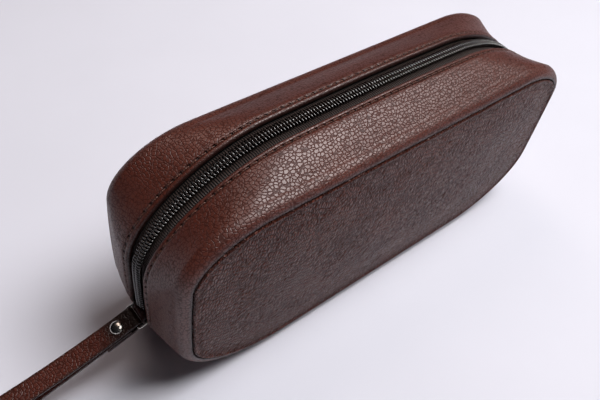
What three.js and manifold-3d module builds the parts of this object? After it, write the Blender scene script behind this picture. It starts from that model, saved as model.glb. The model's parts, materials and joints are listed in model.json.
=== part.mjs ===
import * as THREE from 'three';
import { mergeVertices } from 'three/addons/utils/BufferGeometryUtils.js';
import Module from 'manifold-3d';

// Cosmetic bag: a boxed leather pouch that stands on its narrow bottom gusset. Millimetres.
// X runs along the bag (-X is the end with the wrist strap), Y through it (-Y is the front),
// Z up. The origin is the middle of the bottom.

// Body
const bagLength = 220;
const bagHeight = 98;
const bagDepth = 58;
const bottomCornerLong = 52;
const bottomCornerTall = 34;
const topCornerLong = 37;
const topCornerTall = 24;
const zipCornerLong = 62;
const zipCornerTall = 41;
const gussetSwell = 2.6;
const topCrown = 4;
const nearEndBow = 3;
const farEndBow = 1;
const panelBulge = 3;

// Leather, padding and lining
const leather = 1.3;
const padding = 1.8;
const lining = 0.5;
const layerGap = 0.3;
const edgeRollDepth = 5.5;
const seamInset = 4.7;
const seamGroove = 1;
const beadRise = 0.6;
const beadWidth = 2.4;

// Zip
const zipOpening = 12.9;
const zipShift = 0.2;
const zipEndHeight = 28.2;
const lipTurnIn = 8;
const tapeWidth = 12;
const tapeThickness = 0.5;
const coilPitch = 1.5;
const coilWidth = 6;
const coilHeight = 1.9;
const coilRecess = 0.7;
const toothHead = 0.62;
const toothNeck = 0.38;
const toothMesh = 0.9;
const toothTipGap = 0.2;

// Slider and its pull
const sliderLength = 10.4;
const sliderShoulder = 9.2;
const sliderMouth = 8.2;
const sliderPlate = 1.2;
const sliderClearance = 1;
const wedgeSetBack = 1;
const wedgeLength = 4.6;
const wedgeWidth = 3;
const bridgeWidth = 2.2;
const bridgeLength = 7;
const bridgeThickness = 1;
const pullLength = 24;
const pullWidth = 7;
const pullThickness = 1.2;
const pullEyeReach = 4.4;
const pullSlotLength = 9;
const pullSlotWidth = 2.6;

// Tab, ring, strap and rivet
const tabWidth = 9.4;
const tabLeather = 1.2;
const tabTail = 8;
const ringWire = 1.1;
const ringWidth = 12.2;
const ringReach = 5;
const ringTilt = 0.3;
const ringStandOff = 1.4;
const strapWidth = 9.4;
const strapLeather = 1.3;
const strapLength = 132;
const strapLoopHeight = 14;
const strapTurnIn = 14;
const rivetPlace = 7;
const rivetCap = 6;
const rivetDome = 1.3;
const rivetBase = 0.8;
const rivetPost = 2.2;

// How each form is divided
const cornerSteps = 8;
const topSteps = 6;
const sideSteps = 2;
const rollSteps = 3;
const strapSteps = 22;
const foldSteps = 8;
const wireSides = 8;
const wireBendSteps = 3;
const heelEvery = 3;

// Powers by which the forms ease off: the gusset's swell, and the strap's two runs
const swellPower = 1.7;
const upperEase = 2.6;
const lowerEase = 1.5;

// Shares: the turns left free beside the end of a stretch, the step that measures a slope, and
// the handles of an arch against its rise
const freeTurnShare = 1 / 16;
const slopeStepShare = 1 / 1000;
const archHandleShare = 4 / 3;

// Rings of the rivet's dome: shares of its radius and of its height
const domeShares = [[1, 1 / 3], [0.87, 2 / 3], [0.5, 0.93], [0, 1]];

const halfDepth = bagDepth / 2;
const flatEdge = halfDepth - edgeRollDepth;
const zipLine = zipShift;
const lipThickness = 2 * leather;
const tapeDepth = lipThickness + layerGap;
const liningDepth = leather + layerGap + padding + layerGap;

const lerp = THREE.MathUtils.lerp;
const smooth = (share) => THREE.MathUtils.smoothstep(share, 0, 1);

const wasm = await Module();
wasm.setup();

// Booleans

function toSolid(geometry) {
  const plain = geometry.clone();
  plain.deleteAttribute('normal');
  plain.deleteAttribute('uv');
  const merged = mergeVertices(plain);
  return new wasm.Manifold(new wasm.Mesh({
    numProp: 3,
    vertProperties: new Float32Array(merged.attributes.position.array),
    triVerts: new Uint32Array(merged.index.array),
  }));
}

function toGeometry(solid) {
  const mesh = solid.getMesh();
  const geometry = new THREE.BufferGeometry();
  geometry.setAttribute('position', new THREE.BufferAttribute(mesh.vertProperties, 3));
  geometry.setIndex(new THREE.BufferAttribute(mesh.triVerts, 1));
  geometry.computeVertexNormals();
  return geometry;
}

const join = (...geometries) => toGeometry(
  geometries.map(toSolid).reduce((whole, next) => whole.add(next)),
);

const cut = (geometry, tool) => toGeometry(toSolid(geometry).subtract(toSolid(tool)));

// Turns a list of points and triangles into a closed geometry whose faces point out
function closedGeometry(points, triangles) {
  const volume = triangles.reduce((sum, [a, b, c]) => (
    sum + points[a].dot(new THREE.Vector3().crossVectors(points[b], points[c]))
  ), 0);
  const ordered = volume > 0 ? triangles : triangles.map(([a, b, c]) => [a, c, b]);
  const geometry = new THREE.BufferGeometry().setFromPoints(points);
  geometry.setIndex(ordered.flat());
  geometry.computeVertexNormals();
  return geometry;
}

// The bag's outline

// A turn counts round the outline: 0 bottom, 1 near bottom corner, 2 near end, 3 near top
// corner, 4 top, then 5 to 8 the same stretches of the far end in the opposite order.
const turnsInAll = 9;

// The turn in a bottom corner at which the outline has the given height
const turnAtHeight = (height) => 1 + Math.acos(1 - height / bottomCornerTall) / (Math.PI / 2);

function halfOutline(turn, reach) {
  const halfLength = bagLength / 2 + gussetSwell * reach;
  const top = bagHeight + gussetSwell * reach;
  const long = lerp(topCornerLong, zipCornerLong, reach);
  const tall = lerp(topCornerTall, zipCornerTall, reach);
  const stretch = Math.min(Math.floor(turn), 4);
  const share = turn - stretch;
  const angle = share * Math.PI / 2;
  switch (stretch) {
    case 0:
      return [-share * (halfLength - bottomCornerLong), 0];
    case 1:
      return [
        -(halfLength - bottomCornerLong) - bottomCornerLong * Math.sin(angle),
        bottomCornerTall * (1 - Math.cos(angle)),
      ];
    case 2:
      return [-halfLength, lerp(bottomCornerTall, top - tall, share)];
    case 3:
      return [-(halfLength - long) - long * Math.cos(angle), top - tall * (1 - Math.sin(angle))];
    default:
      return [-(halfLength - long) * (1 - 2 * share), top];
  }
}

// The outline at one depth of the bag: weight is 0 at the seams and 1 at the zip, where the
// top corners are wider and the gusset swells out and is crowned.
function outlinePoint(turn, weight) {
  const wrapped = (turn + turnsInAll) % turnsInAll;
  const isFar = wrapped > turnsInAll / 2;
  const near = isFar ? turnsInAll - wrapped : wrapped;
  const reach = weight * smooth(near - 1);
  const [x, z] = halfOutline(near, reach);
  const along = Math.abs(x) / (bagLength / 2);
  const up = z / bagHeight;
  const bow = (isFar ? farEndBow : nearEndBow) * Math.max(0, 1 - (2 * up - 1) ** 2) * along ** 2;
  const crown = topCrown * reach * Math.max(0, 1 - along ** 2) * up ** 4;
  return new THREE.Vector2((isFar ? -1 : 1) * (x - bow), z + crown);
}

function outlineNormal(turn, weight) {
  const ahead = outlinePoint(turn + slopeStepShare, weight);
  const along = ahead.sub(outlinePoint(turn - slopeStepShare, weight)).normalize();
  return new THREE.Vector2(-along.y, along.x);
}

// Full across the zip's opening, then falling off from its lips to the edges of the gusset
function zipWeight(y) {
  const lip = zipOpening / 2;
  const across = y - zipLine;
  const span = flatEdge - Math.sign(across) * zipLine - lip;
  const beyond = Math.max(0, Math.abs(across) - lip);
  return 1 - Math.min(1, beyond / span) ** swellPower;
}

// A point of the gusset: y through the bag, and how deep below the outer skin
function gussetPoint(turn, y, depth) {
  const weight = zipWeight(y);
  const skin = outlinePoint(turn, weight);
  const normal = outlineNormal(turn, weight);
  return new THREE.Vector3(skin.x - normal.x * depth, y, skin.y - normal.y * depth);
}

// Turns from one place to another, denser round the corners
function turnList(from, to) {
  const turns = [from];
  const stepsOf = (stretch) => {
    const place = (stretch + turnsInAll) % turnsInAll;
    if (place === 4) return topSteps;
    return place % 2 ? cornerSteps : sideSteps;
  };
  for (let stretch = Math.floor(from); stretch < to; stretch += 1) {
    const steps = stepsOf(stretch);
    for (let step = 0; step < steps; step += 1) {
      const turn = stretch + step / steps;
      if (turn > from + freeTurnShare && turn < to - freeTurnShare) turns.push(turn);
    }
  }
  return [...turns, to];
}

// Sweeps a section along the given turns of the gusset. The section is a list of pairs: an
// outer and an inner [y, depth] point, side by side.
function sweptGusset(section, turns) {
  const rim = [...section.map(([outer]) => outer), ...section.map(([, inner]) => inner).reverse()];
  const count = rim.length;
  const points = turns.flatMap((turn) => rim.map(([y, depth]) => gussetPoint(turn, y, depth)));
  const triangles = [];
  for (let row = 0; row < turns.length - 1; row += 1) {
    for (let side = 0; side < count; side += 1) {
      const [a, b] = [row * count + side, row * count + (side + 1) % count];
      triangles.push([a, b, b + count], [a, b + count, a + count]);
    }
  }
  const last = (turns.length - 1) * count;
  for (let pair = 0; pair < section.length - 1; pair += 1) {
    const [a, b, c, d] = [pair, pair + 1, count - 2 - pair, count - 1 - pair];
    triangles.push([a, c, b], [a, d, c]);
    triangles.push([a + last, b + last, c + last], [a + last, c + last, d + last]);
  }
  return closedGeometry(points, triangles);
}

// Where the pieces of the gusset end
const gussetEnd = turnAtHeight(zipEndHeight);
const bottomEnd = turnAtHeight(zipEndHeight - layerGap);
const baseLiningEnd = turnAtHeight(zipEndHeight - (liningDepth + lining) / 2);
const tabFold = ringWire / 2 + layerGap + tabLeather;
const tabMiddle = zipEndHeight + tabFold;
const tapeNearEnd = turnAtHeight(tabMiddle + tabFold + layerGap);
const zipTurns = turnList(gussetEnd, turnsInAll - gussetEnd);
const tapeTurns = turnList(tapeNearEnd, turnsInAll - gussetEnd);
const baseTurns = turnList(-bottomEnd, bottomEnd);

// The rolled edge from the flat of the gusset down into the seam, side is -1 front, 1 back
function rolledEdge(side, thickness) {
  const points = [];
  for (let step = 0; step <= rollSteps; step += 1) {
    const angle = step / rollSteps * Math.PI / 2;
    points.push([
      side * (halfDepth - edgeRollDepth + (edgeRollDepth - thickness) * Math.sin(angle)),
      seamInset - (seamInset - thickness) * Math.cos(angle),
    ]);
  }
  return points;
}

const pairsOf = (outer, inner) => outer.map((point, place) => [point, inner[place]]);

// A layer of even thickness through the given places across the bag
const layerSection = (places, depth, thickness) => places.map((y) => (
  [[y, depth], [y, depth + thickness]]
));

// Leather of one half of the zipped gusset: its edge is turned in to make the lip of the zip,
// and thinned where the turned edge ends.
function lipSection(side) {
  const lip = zipLine + side * zipOpening / 2;
  const nose = leather / 2;
  const turned = lip + side * lipTurnIn;
  return [
    [[lip, nose], [lip, lipThickness - nose]],
    [[lip + side * nose, 0], [lip + side * nose, lipThickness]],
    [[turned - side * leather, 0], [turned - side * leather, lipThickness]],
    [[turned, 0], [turned, leather]],
    ...pairsOf(rolledEdge(side, 0), rolledEdge(side, leather)),
  ];
}

const tapeInner = wedgeWidth / 2 + layerGap;
const liningEdge = sliderShoulder / 2 + 4 * layerGap;
const lipReach = zipOpening / 2 + lipTurnIn;

const paddingSection = (side) => layerSection(
  [zipLine + side * (lipReach + layerGap), side * flatEdge],
  leather + layerGap,
  padding,
);

const liningSection = (side) => layerSection(
  [zipLine + side * liningEdge, zipLine + side * lipReach, side * flatEdge],
  liningDepth,
  lining,
);

const tapeSection = (side) => layerSection(
  [tapeInner, zipOpening / 2, tapeInner + tapeWidth].map((reach) => zipLine + side * reach),
  tapeDepth,
  tapeThickness,
);

// Places across the bottom, close enough to follow its swell near the ends of the zip
const bottomShares = [-1, -0.6, -0.2, 0.2, 0.6, 1];
const bottomPlaces = bottomShares.map((share) => share * flatEdge);

const bottomSection = [
  ...pairsOf(rolledEdge(-1, 0), rolledEdge(-1, leather)).reverse(),
  ...layerSection(bottomPlaces.slice(1, -1), 0, leather),
  ...pairsOf(rolledEdge(1, 0), rolledEdge(1, leather)),
];

// Panels

// Height of the panel's face above the seam plane: groove, bead, then the crowned middle
const panelRings = [
  { inset: 0, rise: -seamGroove },
  { inset: beadWidth / 3, rise: 0 },
  { inset: beadWidth, rise: beadRise },
  { inset: 2 * beadWidth, rise: beadRise },
];
const leatherShares = [0.72, 0.4];
const hiddenShares = [0.5];

// One layer of a side panel, side is -1 front, 1 back. The layers behind the leather start
// inside its bead and are divided more coarsely.
function panelLayer(side, depth, thickness, isHidden) {
  const allTurns = turnList(0, turnsInAll).slice(0, -1);
  const turns = isHidden ? allTurns.filter((_, place) => place % 2 === 0) : allTurns;
  const shares = isHidden ? hiddenShares : leatherShares;
  const edge = seamInset + layerGap;
  const middle = new THREE.Vector2(0, bagHeight / 2);
  const inset = (turn, distance) => (
    outlinePoint(turn, 0).sub(outlineNormal(turn, 0).multiplyScalar(edge + distance))
  );
  const innerRing = panelRings[panelRings.length - 1];
  const rings = panelRings.slice(isHidden ? 2 : 0).map(({ inset: distance, rise }) => (
    { points: turns.map((turn) => inset(turn, distance)), rise }
  ));
  for (const share of shares) {
    rings.push({
      points: turns.map((turn) => inset(turn, innerRing.inset).sub(middle).multiplyScalar(share)
        .add(middle)),
      rise: beadRise + (panelBulge - beadRise) * (1 - share ** 2),
    });
  }
  const count = turns.length;
  const points = [];
  for (const below of [depth, depth + thickness]) {
    for (const ring of rings) {
      points.push(...ring.points.map((p) => (
        new THREE.Vector3(p.x, side * (halfDepth + ring.rise - below), p.y)
      )));
    }
    points.push(new THREE.Vector3(middle.x, side * (halfDepth + panelBulge - below), middle.y));
  }
  const face = rings.length * count + 1;
  const triangles = [];
  const bothFaces = (a, b, c) => triangles.push([a, b, c], [a + face, c + face, b + face]);
  for (let place = 0; place < count; place += 1) {
    const next = (place + 1) % count;
    for (let ring = 0; ring < rings.length - 1; ring += 1) {
      const [a, b] = [ring * count + place, ring * count + next];
      bothFaces(a, b, b + count);
      bothFaces(a, b + count, a + count);
    }
    bothFaces((rings.length - 1) * count + place, (rings.length - 1) * count + next, face - 1);
    triangles.push([place, place + face, next + face], [place, next + face, next]);
  }
  return closedGeometry(points, triangles);
}

// Zip coils

// The zip's own line as a run of straight pieces, so that the coil follows the tape exactly
const zipRun = tapeTurns.map((turn) => ({
  skin: gussetPoint(turn, zipLine, 0),
  inward: gussetPoint(turn, zipLine, 1).sub(gussetPoint(turn, zipLine, 0)),
}));
const zipDistances = zipRun.reduce((list, { skin }, place) => (
  place ? [...list, list[place - 1] + skin.distanceTo(zipRun[place - 1].skin)] : [0]
), []);

// A point of the zip: distance along it, y and depth below the outer skin
function zipPoint(distance, y, depth) {
  let place = 1;
  while (place < zipRun.length - 1 && zipDistances[place] < distance) place += 1;
  const start = zipDistances[place - 1];
  const share = (distance - start) / (zipDistances[place] - start);
  const skin = zipRun[place - 1].skin.clone().lerp(zipRun[place].skin, share);
  const inward = zipRun[place - 1].inward.clone().lerp(zipRun[place].inward, share);
  const point = skin.addScaledVector(inward, depth);
  point.y = y;
  return point;
}

const sliderLow = bottomCornerTall + layerGap;
const sliderMiddle = sliderLow + sliderLength / 2;
const coilTop = coilRecess;
const coilBottom = tapeDepth - layerGap;

// One side of the coil: its turns stand as flared teeth that lock between the other side's
function coilGeometry(side, offset) {
  const farEnd = zipRun[zipRun.length - 1].skin.z;
  const end = zipDistances[zipDistances.length - 1] - (sliderMiddle - farEnd) - layerGap;
  const count = Math.floor((end - coilPitch) / coilPitch);
  const heel = zipLine + side * coilWidth / 2;
  const root = zipLine + side * toothMesh;
  const tip = zipLine - side * (toothMesh - toothTipGap);
  const edges = [];
  const heels = [];
  for (let tooth = 0; tooth < count; tooth += 1) {
    const centre = (tooth + 1 + offset) * coilPitch;
    edges.push([centre - toothNeck / 2, root], [centre - toothHead / 2, tip]);
    edges.push([centre + toothHead / 2, tip], [centre + toothNeck / 2, root]);
    if (tooth % heelEvery === 0 || tooth === count - 1) heels.push(tooth);
  }
  const points = [];
  for (const depth of [coilTop, coilBottom]) {
    points.push(...edges.map(([distance, y]) => zipPoint(distance, y, depth)));
    points.push(...heels.map((tooth) => zipPoint((tooth + 1 + offset) * coilPitch, heel, depth)));
  }
  const layer = edges.length + heels.length;
  const top = [];
  let heelPlace = 0;
  for (let tooth = 0; tooth < count; tooth += 1) {
    const a = 4 * tooth;
    const ahead = heels[heelPlace + 1] ?? Infinity;
    if (ahead - tooth < tooth - heels[heelPlace]) {
      top.push([a, edges.length + heelPlace + 1, edges.length + heelPlace]);
      heelPlace += 1;
    }
    const point = edges.length + heelPlace;
    top.push([a, a + 1, a + 2], [a, a + 2, a + 3], [a, a + 3, point]);
    if (tooth < count - 1) top.push([a + 3, a + 4, point]);
  }
  if (heelPlace < heels.length - 1) {
    const lastRoot = edges.length - 1;
    top.push([lastRoot, edges.length + heelPlace + 1, edges.length + heelPlace]);
  }
  const triangles = [
    ...top,
    ...top.map(([a, b, c]) => [a + layer, c + layer, b + layer]),
  ];
  const rim = [...edges.keys(), ...heels.map((_, place) => edges.length + place).reverse()];
  rim.forEach((a, place) => {
    const b = rim[(place + 1) % rim.length];
    triangles.push([a, a + layer, b + layer], [a, b + layer, b]);
  });
  return closedGeometry(points, triangles);
}

// Slider, modelled lying flat: X across the zip, Y towards the open side, Z outwards from the
// bag's skin; it is then stood up at the far end.

const plateUnder = -coilRecess + layerGap;
const plateTop = plateUnder + sliderPlate;
const lowerPlateTop = -(tapeDepth + tapeThickness + sliderClearance);

function sliderOutline() {
  const half = sliderLength / 2;
  const shoulder = sliderShoulder / 2;
  const mouth = sliderMouth / 2;
  const shape = new THREE.Shape();
  shape.moveTo(-mouth, -half);
  shape.lineTo(mouth, -half);
  shape.bezierCurveTo(mouth, 0, shoulder, 0, shoulder, half / 2);
  shape.quadraticCurveTo(shoulder, half, shoulder / 2, half);
  shape.lineTo(-shoulder / 2, half);
  shape.quadraticCurveTo(-shoulder, half, -shoulder, half / 2);
  shape.bezierCurveTo(-shoulder, 0, -mouth, 0, -mouth, -half);
  return shape;
}

function extruded(shape, height, low, steps) {
  const geometry = new THREE.ExtrudeGeometry(shape, {
    depth: height, bevelEnabled: false, curveSegments: steps,
  });
  return geometry.translate(0, 0, low);
}

const pivotHeight = plateTop + layerGap + pullThickness / 2;

// Arched bridge under which the pull's cross bar turns, with its feet let into the plate
function bridgeGeometry() {
  const half = bridgeLength / 2;
  const innerHalf = half - bridgeThickness;
  const tunnel = pullThickness + 2 * layerGap;
  const outer = archHandleShare * (tunnel + bridgeThickness);
  const inner = archHandleShare * tunnel;
  const foot = -sliderPlate / 2;
  const arch = new THREE.Shape();
  arch.moveTo(-half, foot);
  arch.lineTo(-half, 0);
  arch.bezierCurveTo(-half, outer, half, outer, half, 0);
  arch.lineTo(half, foot);
  arch.lineTo(innerHalf, foot);
  arch.lineTo(innerHalf, 0);
  arch.bezierCurveTo(innerHalf, inner, -innerHalf, inner, -innerHalf, 0);
  arch.lineTo(-innerHalf, foot);
  return extruded(arch, bridgeWidth, -bridgeWidth / 2, foldSteps)
    .rotateX(Math.PI / 2).rotateZ(Math.PI / 2).translate(0, 0, plateTop);
}

// The two plates, the wedge that joins them, the flanges beside the coil and the bridge
function sliderGeometry() {
  const sunk = sliderPlate / 2;
  const drop = coilHeight - layerGap / 2;
  const inside = coilWidth / 2 + layerGap;
  const upper = extruded(sliderOutline(), sliderPlate, plateUnder, foldSteps);
  const lower = extruded(sliderOutline(), sliderPlate, lowerPlateTop - sliderPlate, foldSteps);
  const sides = extruded(sliderOutline(), drop + sunk, plateUnder - drop, foldSteps);
  const channel = new THREE.BoxGeometry(2 * inside, 2 * sliderLength, 2 * drop + 2 * sliderPlate)
    .translate(0, 0, plateUnder - drop);
  const front = sliderLength / 2 - wedgeSetBack;
  const wedge = new THREE.Shape();
  wedge.moveTo(0, front - wedgeLength);
  wedge.lineTo(wedgeWidth / 2, front - wedgeLength / 4);
  wedge.lineTo(wedgeWidth / 4, front);
  wedge.lineTo(-wedgeWidth / 4, front);
  wedge.lineTo(-wedgeWidth / 2, front - wedgeLength / 4);
  const post = extruded(wedge, plateUnder - lowerPlateTop + 2 * sunk, lowerPlateTop - sunk, 1);
  return join(upper, lower, post, cut(sides, channel), bridgeGeometry());
}

// Pull: a flat tongue with an eye, its cross bar under the bridge, hanging along +Y
function pullGeometry() {
  const eye = bridgeWidth / 2 + 2 * layerGap;
  const bar = pullThickness / 2;
  const shoulder = eye + pullThickness;
  const half = pullWidth / 2;
  const shape = new THREE.Shape();
  shape.moveTo(-shoulder, -bar);
  shape.lineTo(shoulder, -bar);
  shape.lineTo(shoulder, pullEyeReach);
  shape.quadraticCurveTo(half, pullEyeReach + half / 2, half, pullEyeReach + half);
  shape.lineTo(half, pullLength - half);
  shape.absarc(0, pullLength - half, half, 0, Math.PI, false);
  shape.lineTo(-half, pullEyeReach + half);
  shape.quadraticCurveTo(-half, pullEyeReach + half / 2, -shoulder, pullEyeReach);
  const hole = new THREE.Path();
  hole.moveTo(-eye, bar);
  hole.lineTo(-eye, pullEyeReach);
  hole.lineTo(eye, pullEyeReach);
  hole.lineTo(eye, bar);
  shape.holes.push(hole);
  const slotHalf = pullSlotWidth / 2;
  const slotEnd = pullLength - half;
  const slot = new THREE.Path();
  slot.absarc(0, slotEnd, slotHalf, 0, Math.PI, false);
  slot.absarc(0, slotEnd - pullSlotLength, slotHalf, Math.PI, 2 * Math.PI, false);
  shape.holes.push(slot);
  return extruded(shape, pullThickness, -pullThickness / 2, foldSteps);
}

// Ring, tab, strap and rivet

// A closed tube along a loop of points
function closedTube(path, radius) {
  const points = [];
  const triangles = [];
  const count = path.length;
  path.forEach((centre, place) => {
    const along = path[(place + 1) % count].clone().sub(path[(place + count - 1) % count]).normalize();
    const up = new THREE.Vector3(0, 0, 1);
    const out = new THREE.Vector3().crossVectors(along, up);
    for (let side = 0; side < wireSides; side += 1) {
      const angle = side / wireSides * 2 * Math.PI;
      points.push(centre.clone().addScaledVector(out, radius * Math.cos(angle))
        .addScaledVector(up, radius * Math.sin(angle)));
      const next = (side + 1) % wireSides;
      const ahead = (place + 1) % count * wireSides;
      const [a, b] = [place * wireSides + side, place * wireSides + next];
      triangles.push([a, b, ahead + next], [a, ahead + next, ahead + side]);
    }
  });
  return closedGeometry(points, triangles);
}

// Rectangular ring lying flat, its inner bar on the origin and its outer bar towards -X
function ringGeometry() {
  const bend = ringWire;
  const shape = new THREE.Shape();
  const half = (ringWidth - ringWire) / 2;
  shape.moveTo(0, -half + bend);
  shape.lineTo(0, half - bend);
  shape.quadraticCurveTo(0, half, -bend, half);
  shape.lineTo(-ringReach + bend, half);
  shape.quadraticCurveTo(-ringReach, half, -ringReach, half - bend);
  shape.lineTo(-ringReach, -half + bend);
  shape.quadraticCurveTo(-ringReach, -half, -ringReach + bend, -half);
  shape.lineTo(-bend, -half);
  shape.quadraticCurveTo(0, -half, 0, -half + bend);
  const path = shape.getPoints(wireBendSteps).slice(0, -1).map((p) => new THREE.Vector3(p.x, p.y, 0));
  return closedTube(path, ringWire / 2);
}

// A strip that follows a path in X and Z, as wide as asked through Y
function bandGeometry(path, thickness, width) {
  const left = [];
  const right = [];
  path.forEach((point, place) => {
    const before = path[Math.max(0, place - 1)];
    const after = path[Math.min(path.length - 1, place + 1)];
    const along = after.clone().sub(before).normalize();
    const aside = new THREE.Vector2(-along.y, along.x).multiplyScalar(thickness / 2);
    left.push(point.clone().add(aside));
    right.push(point.clone().sub(aside));
  });
  const shape = new THREE.Shape([...left, ...right.reverse()]);
  const geometry = extruded(shape, width, -width / 2, 1);
  return geometry.rotateX(Math.PI / 2).translate(0, zipLine, 0);
}

const arcPoints = (centre, radius, from, to) => Array.from({ length: foldSteps + 1 }, (_, step) => {
  const angle = lerp(from, to, step / foldSteps);
  return new THREE.Vector2(centre.x + radius * Math.cos(angle), centre.y + radius * Math.sin(angle));
});

const nearSkin = gussetPoint(tapeNearEnd, zipLine, 0);
const innerBar = new THREE.Vector2(nearSkin.x + ringStandOff, tabMiddle);
const outerBar = new THREE.Vector2(
  innerBar.x - ringReach * Math.cos(ringTilt),
  innerBar.y - ringReach * Math.sin(ringTilt),
);

// The tab folds round the inner bar and runs into the bag below the end of the zip
function tabGeometry() {
  const fold = tabFold - tabLeather / 2;
  const tail = (tabLeather + layerGap) / 2;
  const inside = innerBar.x + tabTail;
  const narrow = innerBar.x + 2 * fold;
  const path = [
    new THREE.Vector2(inside, innerBar.y + tail),
    new THREE.Vector2(narrow, innerBar.y + tail),
    ...arcPoints(innerBar, fold, Math.PI / 2, 3 * Math.PI / 2),
    new THREE.Vector2(narrow, innerBar.y - tail),
    new THREE.Vector2(inside, innerBar.y - tail),
  ];
  return bandGeometry(path, tabLeather, tabWidth);
}

const strapPitch = strapLeather + layerGap;
const strapFold = ringWire / 2 + layerGap + strapLeather / 2;
const strapRise = outerBar.y + strapFold;
const ease = (reach, power) => (1 - reach / strapLength) ** power;

// Heights of the strap's two runs at a distance from the ring: both sink towards the floor,
// the lower one sooner, so that the hand loop opens between them.
const upperRun = (reach) => lerp(strapLoopHeight - strapLeather / 2, strapRise, ease(reach, upperEase));
const lowerRun = (reach) => lerp(
  strapLeather / 2,
  strapRise - strapPitch - layerGap,
  ease(reach, lowerEase),
);
const strapPoint = (reach, height) => new THREE.Vector2(outerBar.x - reach, height);

function strapPath() {
  const path = [];
  const start = strapFold + strapPitch;
  for (let step = 0; step <= strapSteps; step += 1) {
    const reach = lerp(start, strapLength, step / strapSteps);
    path.push(strapPoint(reach, lowerRun(reach)));
  }
  const loop = (strapLoopHeight - strapLeather) / 2;
  const loopMiddle = strapPoint(strapLength, strapLoopHeight / 2);
  path.push(...arcPoints(loopMiddle, loop, -Math.PI / 2, -3 * Math.PI / 2).slice(1, -1));
  for (let step = 0; step < strapSteps; step += 1) {
    const reach = strapLength * (1 - step / strapSteps);
    path.push(strapPoint(reach, upperRun(reach)));
  }
  path.push(...arcPoints(outerBar, strapFold, Math.PI / 2, -Math.PI / 2));
  const turned = strapTurnIn / 4;
  for (let reach = turned; reach <= strapTurnIn; reach += turned) {
    path.push(strapPoint(reach, lowerRun(reach) - strapPitch - layerGap / 2));
  }
  return path;
}

const rivetSlope = Math.atan2(
  upperRun(rivetPlace - rivetCap) - upperRun(rivetPlace + rivetCap),
  2 * rivetCap,
);
const rivetSeat = new THREE.Vector3(outerBar.x - rivetPlace, zipLine, upperRun(rivetPlace));

// Rivet pieces are turned about Z and then leaned square to the strap
const seated = (geometry) => geometry
  .rotateY(-rivetSlope)
  .translate(rivetSeat.x, rivetSeat.y, rivetSeat.z);

const lathe = (profile) => new THREE.LatheGeometry(
  profile.map(([radius, height]) => new THREE.Vector2(radius, height)),
  2 * foldSteps,
).rotateX(Math.PI / 2);

const rivetFoot = -(strapLeather / 2 + 2 * strapPitch + 2 * layerGap);

function rivetCapGeometry() {
  const radius = rivetCap / 2;
  const low = strapLeather / 2 + layerGap;
  return seated(lathe([
    [0, low],
    [radius - layerGap, low],
    ...domeShares.map(([across, up]) => [radius * across, low + rivetDome * up]),
  ]));
}

function rivetPostGeometry() {
  const radius = rivetCap / 2;
  const post = rivetPost / 2;
  return seated(lathe([
    [0, rivetFoot - rivetBase],
    [radius - layerGap, rivetFoot - rivetBase],
    [radius, rivetFoot - rivetBase / 2],
    [radius - layerGap, rivetFoot],
    [post, rivetFoot],
    [post, strapLeather / 2],
    [0, strapLeather / 2],
  ]));
}

function strapGeometry() {
  const reach = 2 * rivetCap;
  const bore = new THREE.CylinderGeometry(
    rivetPost / 2 + layerGap, rivetPost / 2 + layerGap, reach, 2 * foldSteps,
  ).rotateX(Math.PI / 2);
  return cut(bandGeometry(strapPath(), strapLeather, strapWidth), seated(bore));
}

// Assembly

const finishes = {
  gussetLeather: { color: 0x4b261c, roughness: 0.45, metalness: 0 },
  panelLeather: { color: 0x4b3733, roughness: 0.5, metalness: 0 },
  strapLeather: { color: 0x3f221b, roughness: 0.5, metalness: 0 },
  foam: { color: 0x8d8a84, roughness: 0.95, metalness: 0 },
  liningCloth: { color: 0x2d2422, roughness: 0.9, metalness: 0 },
  tapeCloth: { color: 0x2a1a16, roughness: 0.9, metalness: 0 },
  nylon: { color: 0x1c1413, roughness: 0.4, metalness: 0 },
  nickel: { color: 0xc9c7c2, roughness: 0.25, metalness: 1 },
};

const bag = new THREE.Group();

function addPiece(name, geometry, finish, place) {
  const mesh = new THREE.Mesh(geometry, new THREE.MeshStandardMaterial(finishes[finish]));
  mesh.name = name;
  if (place) place(mesh);
  bag.add(mesh);
}

for (const [half, side] of [['front', -1], ['back', 1]]) {
  addPiece(`${half}_panel`, panelLayer(side, 0, leather, false), 'panelLeather');
  addPiece(`${half}_panel_stiffener`, panelLayer(side, leather + layerGap, padding, true), 'foam');
  addPiece(`${half}_panel_lining`, panelLayer(side, liningDepth, lining, true), 'liningCloth');
  addPiece(`${half}_gusset`, sweptGusset(lipSection(side), zipTurns), 'gussetLeather');
  addPiece(`${half}_gusset_padding`, sweptGusset(paddingSection(side), zipTurns), 'foam');
  addPiece(`${half}_gusset_lining`, sweptGusset(liningSection(side), zipTurns), 'liningCloth');
  addPiece(`${half}_zip_tape`, sweptGusset(tapeSection(side), tapeTurns), 'tapeCloth');
  addPiece(`${half}_zip_coil`, coilGeometry(side, side > 0 ? 0 : 0.5), 'nylon');
}

addPiece('bottom_gusset', sweptGusset(bottomSection, baseTurns), 'gussetLeather');
addPiece(
  'base_board',
  sweptGusset(layerSection([-flatEdge, flatEdge], leather + layerGap, padding), turnList(-1, 1)),
  'foam',
);
addPiece(
  'base_lining',
  sweptGusset(
    layerSection(bottomPlaces, liningDepth, lining),
    turnList(-baseLiningEnd, baseLiningEnd),
  ),
  'liningCloth',
);

const farSkin = gussetPoint(turnsInAll - 2, zipLine, 0);

const across = new THREE.Vector3(0, -1, 0);
const down = new THREE.Vector3(0, 0, -1);
const outward = new THREE.Vector3(1, 0, 0);

function standAtFarEnd(mesh) {
  mesh.setRotationFromMatrix(new THREE.Matrix4().makeBasis(across, down, outward));
  mesh.position.set(farSkin.x, zipLine, sliderMiddle);
}

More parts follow.
